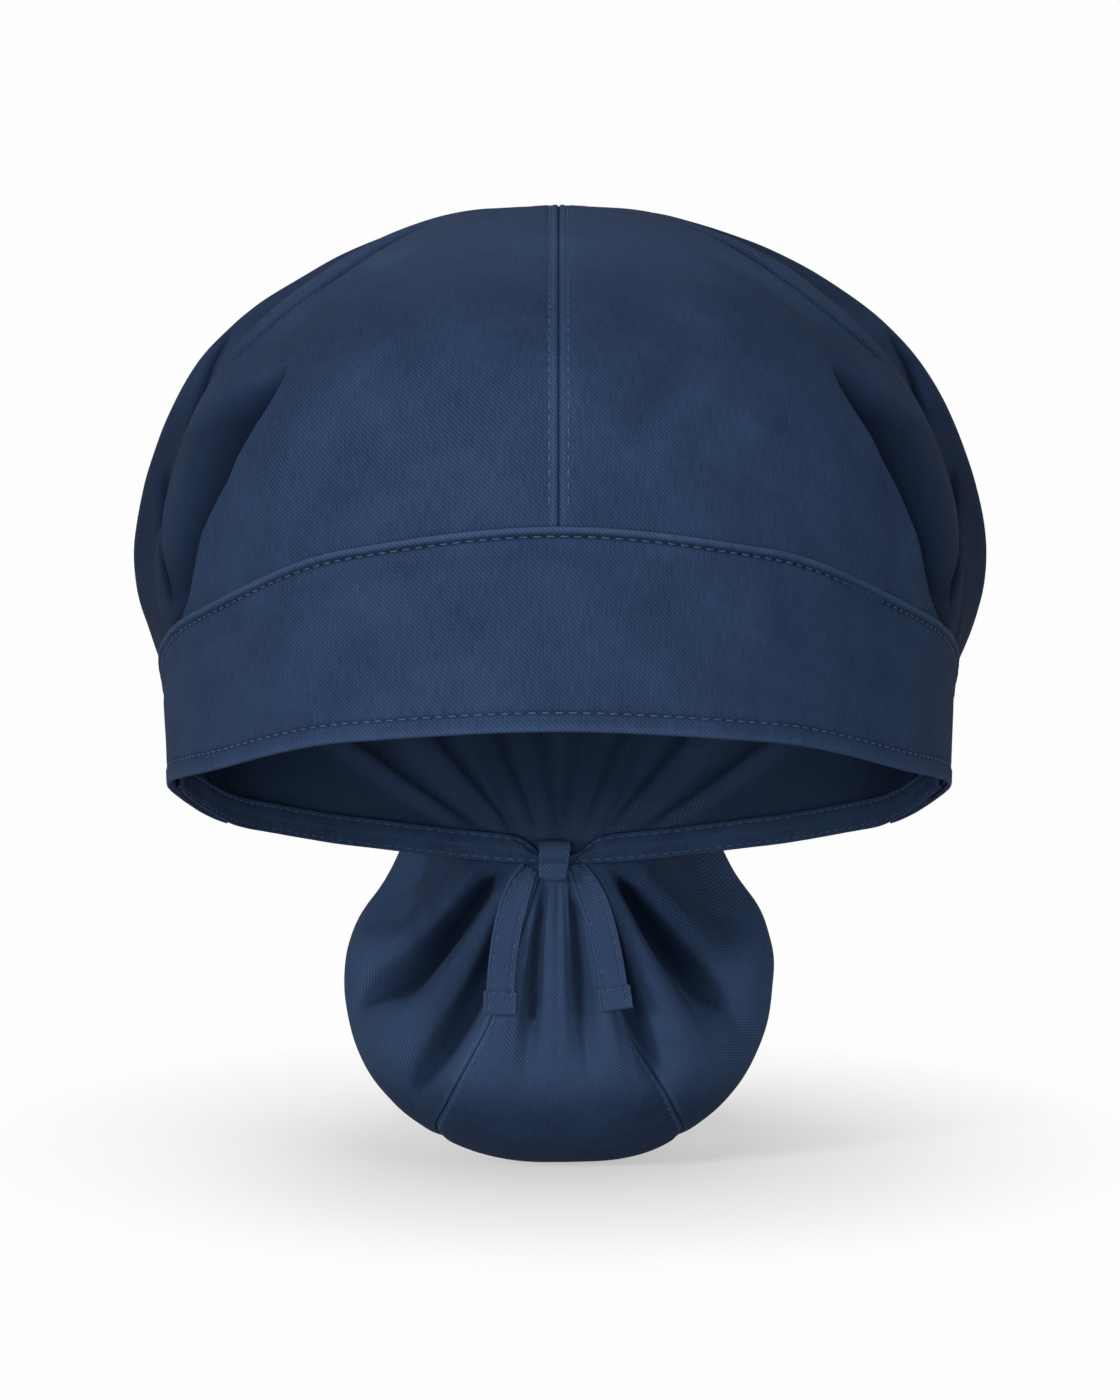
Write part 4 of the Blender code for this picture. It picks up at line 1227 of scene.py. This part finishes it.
# %% Pouch: gathers, pinched lines and seams as relief
PRINCESS_STITCH = 0.0012
POUCH_RUN = 0.150
POUCH_PINCH = 0.0056
NECK_DEPTH = 0.0086
SIDE_FILL = 0.0022
NECK_RIM = 0.0006
SEAM_DIP = 0.0005
SEAM_DIP_WIDTH = 0.0022
GATHER_LIFT = 0.0010
FINE_GATHER_LIFT = 0.0003
PANEL_SWELL = 0.0005
POUCH_WAVE = 0.0009
POUCH_FINE_WAVE = 0.00018


PINCH_ROWS = {
    **FOLD_ROWS,
    "depth": (0.5, 1.0, 1.0, 0.55, 0.55, 0.9, 0.9, 0.4),
    "reach": (0.38, 0.45, 0.52, 0.34, 0.34, 0.42, 0.39, 0.36),
}


def pouch_gathers(fan, along, narrowing):
    """Depth share of the folds from the knot, pinched and strongest near it."""
    depth = np.zeros(np.shape(fan * along))
    for start, end, half, share, reach in zip(*PINCH_ROWS.values()):
        line = start + (end - start) * ease(along, 0.0, reach)
        fade = ease(along, 0.02, 0.09) * (1 - ease(along, 0.62 * reach, 1.12 * reach))
        front = 1 - 0.65 * ease(abs(start), 70, 80)
        depth = depth + front * share * fade * pinch(fan - line, half * narrowing)
    return depth


def pouch_relief(fan, along, base):
    """Relief of the pouch's cloth."""
    degree = degree_length(pouch_point, fan, along)
    run = along * POUCH_RUN
    seam = princess_seam(along)
    lift = np.zeros(np.shape(base)[:-1])
    for side in (-1, 1):
        distance = (fan - side * seam) * degree
        lift = lift + rolled_edge(np.abs(distance))
        lift = lift - SEAM_DIP * bump(distance, SEAM_DIP_WIDTH) * ease(along, 0.15, 0.3)
        inward = -side * distance - PRINCESS_STITCH
        lift = lift + stitched(inward, run, seed=61 + side, pucker=1.3) * ease(along, 0.12, 0.2)
    back = (180 - np.abs(fan)) * degree
    lift = lift + rolled_edge(back) + stitched(back - CENTRE_STITCH, run, seed=65)
    lift = lift - POUCH_PINCH * pouch_gathers(fan, along, 0.42)
    close = ease(along, 0.02, 0.08) * (1 - ease(along, 0.12, 0.42))
    close = close * (1 - ease(np.abs(fan), 60, 85))
    lift = lift + close * GATHER_LIFT * ripple(fan, size=6.0, seed=67)
    lift = lift + close * FINE_GATHER_LIFT * ripple(fan, size=2.6, seed=69)
    neck = bump(np.abs(fan) - 112, 38) * ease(along, 0.04, 0.14) * (1 - ease(along, 0.24, 0.34))
    lift = lift - NECK_DEPTH * neck + NECK_RIM * bump(along - 0.36, 0.06)
    outer = np.abs(fan) - 84 - 13 * ease(along, 0.0, 0.42)
    fill = ease(along, 0, 0.2) * (1 - ease(along, 0.26, 0.42)) * bump(outer, 9)
    lift = lift + SIDE_FILL * fill
    lift = lift + PANEL_SWELL * bump(np.abs(fan) - 26, 20) * bump(along - 0.63, 0.08)
    lift = lift + POUCH_WAVE * rumple(base, size=0.022, seed=71) * ease(along, 0.05, 0.3)
    return lift + POUCH_FINE_WAVE * rumple(base, size=0.008, seed=73)


def pouch_skin(fan, along):
    """The pouch's outer side as it is seen."""
    fan, along = paired(fan, along)
    base = pouch_point(fan, along)
    out = facing(pouch_point, fan, along, -1)
    return base + out * pouch_relief(fan, along, base)[..., None]


print("pinch under the largest fold, mm:", 1000 * POUCH_PINCH)

# %% [markdown]
# ## Three pouch panels
# A panel lies between two seams, and each seam is a fan angle for every row from the knot to
# the far end. The panels share the pouch's skin, so that the folds run on across the seams.

# %% Sew the pouch
BACK_SEAM = 180.05
FOLD_EDGE = 0.30
RIDGES_PAINTED_LIGHT = 0.44
FOLDS_PAINTED_SHADE = 1.15
PAINTED_SHADOW_UNDER_CASING = 0.62
PAINTED_SHADE_UNDERNEATH = 0.62
UNDER_LEVELS = (0.078, 0.094)


def sew_pouch_panel(name, node, first, last, columns, middle):
    """A panel of the pouch between two seams, each a fan angle for every row."""
    along = pouch_rows
    width = degree_length(pouch_point, (first + last) / 2, along) * (last - first)
    place = spread_out(width, EDGE_PLACES, int(columns * detail), EDGE_PLACES) / width
    fan = (first + (last - first) * place).T
    along = np.broadcast_to(along[:, None], fan.shape)
    grid = pouch_skin(fan, along)
    grain = cut_grain(grid, middle_column(grid, middle))
    grid = turned_edges(grid, facing(pouch_point, fan, along, -1))
    degree = degree_length(pouch_point, fan, along)
    seam = np.minimum(fan - fan[:, :1], fan[:, -1:] - fan) * degree
    # A pale line beside each seam, partly rubbed wear and partly painted highlight.
    wear_and_painted_shading = 0.34 * bump(seam - 0.0008, 0.0007) * ease(along, 0.1, 0.3)
    # Painted light on the ridges between the folds, painted shade in the folds, a painted shadow
    # under the casing and painted shade on the underside.
    shade = np.clip(pouch_gathers(fan, along, 0.55) - FOLD_EDGE, 0, 1)
    wear_and_painted_shading = wear_and_painted_shading + RIDGES_PAINTED_LIGHT * (1 - ease(shade, 0.0, 0.2)) - FOLDS_PAINTED_SHADE * shade
    wear_and_painted_shading = wear_and_painted_shading - PAINTED_SHADOW_UNDER_CASING * ease(np.abs(fan), 32, 55) * (1 - ease(along, 0.17, 0.36))
    wear_and_painted_shading = wear_and_painted_shading - PAINTED_SHADE_UNDERNEATH * ease(-grid[..., 2], *UNDER_LEVELS)
    panel = lay_cloth(name, grid, grain * (1, -1), wear_and_painted_shading, CLOTH_THICKNESS, turned=True)
    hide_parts(node)
    return panel


pouch_rows = np.linspace(0, 1, int(130 * detail))
princess = princess_seam(pouch_rows)
behind = np.full(pouch_rows.shape, BACK_SEAM)
sew_pouch_panel("pouch_centre_cloth", "pouch_centre_panel", -princess, princess, 90, "centre")
sew_pouch_panel("pouch_left_cloth", "pouch_side_left", -behind, -princess, 150, "last")
sew_pouch_panel("pouch_right_cloth", "pouch_side_right", princess, behind, 150, "first")

princess_along = np.linspace(0.16, 0.72, 400)
for name, side in SIDES.items():
    inset = PRINCESS_STITCH / degree_length(pouch_point, side * 30.0, princess_along)
    line = side * (princess_seam(princess_along) - inset)
    sew("princess_stitching_" + name, *edge_path(pouch_skin, line, princess_along, -1))

# %% [markdown]
# ## The knot
# The tie's ends are drawn through a short loop of the same cloth, which wraps the gathered
# casing. From the front it is a small strap that comes over the top, bulges and tucks under.
# It is laid as rings round the bundle, with its sides closed a little way in.

# %% Knot: a strap wrapped round the gathers
KNOT_HEIGHT = 0.0096
KNOT_DEPTH = 0.0056
KNOT_RISE = 0.0012
KNOT_SQUARE = 2.7
KNOT_STITCH = 0.0008
KNOT_STITCHES = (0.0022, 0.0015)
KNOT_MIDDLE_COLUMNS = 45
KNOT_RINGS = {
    "across": (0.0, 0.86, 0.93, 0.97, 1.0, 1.0, 0.98, 0.96),
    "size": (0.0, 0.62, 0.74, 0.80, 0.86, 0.93, 0.98, 1.0),
}
knot_back = head_outline(180.0, 0.0, CROWN_WALL + GAP)[1]
knot_centre = np.array([KNOT_OFFSET, knot_back - KNOT_DEPTH / 2, KNOT_RISE - RIM_BACK_DROP])


def squared(wave):
    """A sine or cosine drawn towards a square."""
    return np.sign(wave) * np.abs(wave) ** (2 / KNOT_SQUARE)


def knot_skin(turn, across, size):
    """The strap round the bundle: turn goes round it and across is -1 to 1 over its width."""
    y = -squared(np.cos(turn)) * KNOT_DEPTH / 2
    z = squared(np.sin(turn)) * KNOT_HEIGHT / 2
    taper = 1 - 0.13 * ease(-z / (KNOT_HEIGHT / 2), -0.2, 1.0)
    bulge = 1 + 0.07 * (1 - across**2)
    edge = np.abs(across) * KNOT_WIDTH / 2
    channel = 1 - 0.035 * bump(edge - KNOT_WIDTH / 2 + KNOT_STITCH, 0.0004)
    wave = 1 + 0.025 * np.sin(3 * turn + 2 * across) * np.cos(2.2 * across)
    scale = size * bulge * wave * channel
    x = across * KNOT_WIDTH / 2 * taper + 0.0003 * np.sin(2 * turn)
    return knot_centre + np.stack([x + 0 * y, y * scale, z * scale], axis=-1)


knot_turn = np.linspace(0, 2 * np.pi, 97)
side_across = np.array(KNOT_RINGS["across"])
side_size = np.array(KNOT_RINGS["size"])
front_across = np.linspace(-0.93, 0.93, KNOT_MIDDLE_COLUMNS)
knot_across = np.concatenate([-side_across, front_across, side_across[::-1]])
knot_size = np.concatenate([side_size, np.ones(KNOT_MIDDLE_COLUMNS), side_size[::-1]])
knot_grid = knot_skin(knot_turn[:, None], knot_across[None, :], knot_size[None, :])
# Painted light over the whole strap, and paler still near its edges, partly rubbed wear and
# partly painted highlight.
knot_wear_and_painted_light = 0.3 * bump(np.abs(knot_across) - 0.95, 0.06)[None, :] + 0.5 + 0 * knot_turn[:, None]
knot = lay_cloth("knot_cloth", knot_grid, cut_grain(knot_grid, 30), knot_wear_and_painted_light, 0.0)
knot.modifiers.clear()
weld = knot.modifiers.new("Close the strap", "WELD")
weld.merge_threshold = 0.000002
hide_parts("tie_knot")


def knot_path(side):
    """A line of stitches near one edge of the strap, over its front."""
    turn = np.linspace(-1.25, 1.25, 120)
    across = side * (1 - KNOT_STITCH / (KNOT_WIDTH / 2))
    path = knot_skin(turn, np.full(120, across), np.ones(120))
    out = path - knot_centre - np.array([1, 0, 0]) * (path - knot_centre)[:, :1]
    return path, out / np.linalg.norm(out, axis=-1, keepdims=True)


for name, side in SIDES.items():
    sew("knot_stitching_" + name, *knot_path(side), *KNOT_STITCHES)

# %% [markdown]
# ## The two tails
# The tie's free ends are flat doubled straps. They leave the knot on edge, turn flat and hang
# down over the pouch, each ending in a deep hem with a stitched box. Each is laid along a
# centre line that follows the pouch's front, a hair's breadth clear of it.

# %% Tails: straps that lie on the pouch
TAIL_WIDTH = 0.0070
TAIL_LENGTH = 0.0376
TAIL_THICKNESS = 0.0011
TAIL_HEM = 0.0060
TAIL_HEM_WIDER = 0.0006
TAIL_HEM_LIFT = 0.00045
TAIL_STITCH = 0.0012
TAIL_SIDE_STITCHES = (0.0025, 0.0018)
TAIL_HEM_STITCHES = (0.0022, 0.0016)
TAIL_HEM_SEAM = TAIL_HEM - 0.0006
TAIL_PARTS = 60
TAIL_ROWS = {
    "along": (0.0, 0.12, 0.30, 0.55, 1.0),
    "left": (34.0, 23.0, 15.0, 8.0, 2.0),
    "right": (40.0, 29.0, 20.0, 12.0, 8.0),
    "width": (0.60, 0.84, 1.0, 1.0, 1.0),
}
TAIL_START = {-1: (0.0058, -0.0020), 1: (0.0047, -0.0016)}
TO_FRONT = np.array([0.0, -1.0, 0.0])
fan_places, along_places = np.meshgrid(np.linspace(-60, 60, 121), np.linspace(0, 0.5, 81))
pouch_front = pouch_skin(fan_places, along_places).reshape(-1, 3)


def tail_middle(side):
    """The tail's centre line, its headings and how far its front stands from the pouch."""
    along = np.linspace(0, 1, TAIL_PARTS + 1)
    heading = np.radians(through(TAIL_ROWS, "along", "left" if side < 0 else "right", along))
    step = TAIL_LENGTH / TAIL_PARTS
    between = (heading[1:] + heading[:-1]) / 2
    start_x, start_z = TAIL_START[side]
    x = start_x + np.concatenate([[0.0], np.cumsum(np.sin(between) * step)])
    z = start_z - np.concatenate([[0.0], np.cumsum(np.cos(between) * step)])
    middle = np.stack([side * x, 0 * x, z], axis=-1) + knot_centre * (1, 0, 1)
    for i in range(TAIL_PARTS + 1):
        beside_tail = np.abs(pouch_front[:, 0] - middle[i, 0]) < TAIL_WIDTH
        level = np.abs(pouch_front[:, 2] - middle[i, 2]) < TAIL_WIDTH / 2
        middle[i, 1] = pouch_front[beside_tail & level][:, 1].min() - GAP - TAIL_THICKNESS
    smooth = np.convolve(np.pad(middle[:, 1], 4, mode="edge"), np.ones(9) / 9, mode="valid")
    middle[:, 1] = np.minimum(smooth, middle[:, 1] + 0.0002)
    return along, middle, heading


def tail_skin(side, along, across):
    """The tail's front: across is -1 to 1 over its width, the outer edge first."""
    rows, middle, heading = tail_middle(side)
    line = np.stack([np.interp(along, rows, middle[:, i]) for i in range(3)], axis=-1)
    turn = np.interp(along, rows, heading)
    width = through(TAIL_ROWS, "along", "width", along)
    to_end = (1 - along) * TAIL_LENGTH
    hem = 1 - ease(to_end, TAIL_HEM - 0.0004, TAIL_HEM)
    half = TAIL_WIDTH / 2 * width + TAIL_HEM_WIDER * hem
    aside = np.stack([side * np.cos(turn), 0 * turn, np.sin(turn)], axis=-1)
    place = line + aside * (across * half)[..., None]
    edge = (1 - np.abs(across)) * half
    run = along * TAIL_LENGTH
    lift = TAIL_HEM_LIFT * hem
    lift = lift + stitched(edge - TAIL_STITCH, run, seed=81)
    lift = lift + stitched(to_end - TAIL_HEM_SEAM, across * half, seed=83, pucker=0.5)
    lift = lift + rolled_edge(edge, FOLD_RADIUS) + rolled_edge(to_end, FOLD_RADIUS)
    folded = 1 - ease(along, 0.05, 0.42)
    lift = lift + folded * (0.0011 * across**2 - 0.0006 * bump(across, 0.5))
    lift = lift + 0.0002 * rumple(place, size=0.008, seed=85)
    place[..., 1] -= lift
    return place


print("tail, mm:", 1000 * TAIL_LENGTH, "by", 1000 * TAIL_WIDTH)

# %% [markdown]
# ## Laying and stitching the tails
# Each tail has a row of stitches near both edges and one across its hem. The tails differ a
# little in their hang, as tied ends do.

# %% The two tails
TAIL_PAINTED_LIGHT = 0.40
tail_edge = np.array([0, 0.03, 0.07, 0.12])
tail_across = np.concatenate([tail_edge - 1, np.linspace(-0.82, 0.82, 27), 1 - tail_edge[::-1]])
tail_along = np.concatenate([np.linspace(0, 0.80, 80), np.linspace(0.805, 0.87, 22),
                             np.linspace(0.88, 0.97, 12), [0.984, 0.992, 0.997, 1.0]])
for name, side in SIDES.items():
    along, across = np.meshgrid(tail_along, tail_across, indexing="ij")
    grid = tail_skin(side, along, across)
    # Painted light over the whole tail, and paler still along its edges, partly rubbed wear and
    # partly painted highlight.
    wear_and_painted_shading = TAIL_PAINTED_LIGHT * (1 + bump(1 - np.abs(across), 0.10))
    tail = lay_cloth("tail_cloth_" + name, grid, cut_grain(grid, 17) * (side, -1), wear_and_painted_shading,
                     TAIL_THICKNESS, turned=side > 0)
    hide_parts("tie_tail_" + name)
    down = np.linspace(0.03, 0.985, 300)
    half = TAIL_WIDTH / 2 * through(TAIL_ROWS, "along", "width", down)
    for edge_name, edge in (("outer", 1), ("inner", -1)):
        path = tail_skin(side, down, edge * (1 - TAIL_STITCH / half))
        outward = np.broadcast_to(TO_FRONT, path.shape)
        sew("tail_stitching_" + name + "_" + edge_name, path, outward, *TAIL_SIDE_STITCHES)
    over = np.linspace(-0.97, 0.97, 60)
    path = tail_skin(side, np.full(60, 1 - TAIL_HEM_SEAM / TAIL_LENGTH), over)
    outward = np.broadcast_to(TO_FRONT, path.shape)
    sew("tail_hem_stitching_" + name, path, outward, *TAIL_HEM_STITCHES)

# %% [markdown]
# ## The floor
# The cap is shown in a pale studio, held up as on a head, with its pouch just touching the
# floor. The floor near the cap takes the soft shadow and melts into the pale surround further
# out, so that no edge of it is seen. A curved backdrop would need a far bigger sweep.

# %% Floor
SURROUND = 0.985
SHADOW_PLACE = 0.19
SHADOW_WIDE = 0.135
SHADOW_DEEP = 0.185
FLOOR_GLOW = 0.44
FLOOR_TONE = 0.62
FLOOR_SHINE = 0.05
FLOOR_RADIUS = 9.0


def lay_floor():
    """A pale disc that melts into the surround away from the cap."""
    bpy.ops.mesh.primitive_circle_add(vertices=128, radius=FLOOR_RADIUS, fill_type="NGON")
    floor = bpy.context.object
    floor.name = "studio_floor"
    lowest = min(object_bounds()[0][2], plain_low[2])
    floor.location = (0, SHADOW_PLACE, lowest - 0.0002)
    paint = Nodes("studio_floor")
    spot = paint.add("TexCoord").outputs["Object"]
    oval = paint.add("Mapping", Vector=spot, Scale=(1 / SHADOW_WIDE, 1 / SHADOW_DEEP, 1.0))
    away = paint.add("VectorMath", {"operation": "LENGTH"}, _0=oval.outputs[0]).outputs["Value"]
    share = paint.spread(away, 0.35, 1.15, FLOOR_GLOW, 1.0)
    grit = paint.noise(spot, 300.0)
    rough = paint.spread(grit, 0.0, 1.0, 0.90, 0.94)
    grey = (FLOOR_TONE, FLOOR_TONE, FLOOR_TONE, 1.0)
    paint.finish({"Roughness": rough, "Base Color": grey, "Specular IOR Level": FLOOR_SHINE})
    glow = paint.add("Emission", Color=(1, 1, 1, 1), Strength=SURROUND).outputs[0]
    mixed = paint.add("MixShader", _0=share, _1=paint.shader.outputs[0], _2=glow).outputs[0]
    paint.tree.links.new(mixed, paint.tree.nodes["Material Output"].inputs["Surface"])
    floor.data.materials.append(paint.material)
    floor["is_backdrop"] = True


lay_floor()

# %% [markdown]
# ## The light
# A soft light stands low on the left, a weaker one on the right, a wide one hangs high, and a
# small one by the camera reaches under the band. A pale sky fills the shadows, and is dimmer
# overhead, because a white sky there would wash out the navy.

# %% Lights and sky
LIGHT_DISTANCE = 2.0
SKY_LEVEL = 0.36
SKY_LOW = 0.14
SKY_HIGH = 0.45
LIGHTS = {
    "name": ("left_light", "high_light", "right_light", "front_light"),
    "turn": (-42, -8, 40, -4),
    "height": (11, 52, 12, 4),
    "size": (0.45, 0.9, 0.8, 0.4),
    "level": (1.42, 0.68, 0.50, 0.94),
    "colour": ((1.0, 0.99, 0.97), (1.0, 1.0, 1.0), (0.97, 0.98, 1.0), (1.0, 1.0, 1.0)),
}


def hang_light(name, turn, height, size, level, colour):
    """A soft round light aimed at the cap, turned from the camera's side and raised."""
    turn, height = np.radians(turn), np.radians(height)
    light = bpy.data.lights.new(name, "AREA")
    light.shape = "DISK"
    light.size = size
    light.energy = level * (np.pi * LIGHT_DISTANCE) ** 2
    light.color = colour
    lamp = bpy.data.objects.new(name, light)
    flat = np.cos(height) * LIGHT_DISTANCE
    lamp.location = (np.sin(turn) * flat, -np.cos(turn) * flat, np.sin(height) * LIGHT_DISTANCE)
    lamp.rotation_euler = (np.pi / 2 - height, 0, turn)
    bpy.context.scene.collection.objects.link(lamp)


def hang_sky():
    """A surround that is white near the horizon and dimmer overhead."""
    world = bpy.data.worlds.new("studio_surround")
    world.use_nodes = True
    tree = world.node_tree
    spot = tree.nodes.new("ShaderNodeTexCoord").outputs["Generated"]
    parts = tree.nodes.new("ShaderNodeSeparateXYZ")
    tree.links.new(spot, parts.inputs[0])
    fade = tree.nodes.new("ShaderNodeMapRange")
    places = (SKY_LOW, SKY_HIGH, SURROUND, SKY_LEVEL)
    for socket, value in zip(fade.inputs[1:5], places):
        socket.default_value = value
    tree.links.new(parts.outputs[2], fade.inputs[0])
    tree.nodes["Background"].inputs["Color"].default_value = (1.0, 1.0, 1.0, 1.0)
    tree.links.new(fade.outputs[0], tree.nodes["Background"].inputs["Strength"])
    bpy.context.scene.world = world


for row in zip(*LIGHTS.values()):
    hang_light(*row)
hang_sky()
bpy.context.scene.view_settings.view_transform = "Standard"
print("lights:", *LIGHTS["name"])

# %% [markdown]
# ## The camera
# A long lens 1.4 m away looks slightly down at the middle of the head opening. It is shifted a
# little, because that point lies below the middle of the picture.

# %% Camera
VIEW_DISTANCE = 1.40
VIEW_RAISED = np.radians(5.0)
PICTURE_WIDTH = 1120
PICTURE_HEIGHT = 1400
AXIS_X = 558.8
AXIS_Y = 784.0
FOCAL_PIXELS = 6183.8
SENSOR = 36.0


def stand_camera():
    """The camera looks slightly down at the middle of the head opening."""
    camera = bpy.data.cameras.new("camera")
    camera.sensor_width = SENSOR
    camera.lens = FOCAL_PIXELS * SENSOR / PICTURE_HEIGHT
    camera.shift_x = (PICTURE_WIDTH / 2 - AXIS_X) / PICTURE_HEIGHT
    camera.shift_y = (AXIS_Y - PICTURE_HEIGHT / 2) / PICTURE_HEIGHT
    stand = bpy.data.objects.new("camera", camera)
    back = VIEW_DISTANCE * np.cos(VIEW_RAISED)
    stand.location = (0, -back, VIEW_DISTANCE * np.sin(VIEW_RAISED))
    stand.rotation_euler = (np.pi / 2 - VIEW_RAISED, 0, 0)
    bpy.context.scene.collection.objects.link(stand)
    bpy.context.scene.camera = stand


stand_camera()
print("lens, mm:", round(bpy.context.scene.camera.data.lens, 1))

# %% [markdown]
# ## Measure and finish
# The dressed cap should fill the plain model's box and no more than a little cloth beyond it.

low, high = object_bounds()
print("dressed cap, mm:", [round(1000 * (h - l), 1) for l, h in zip(low, high)])
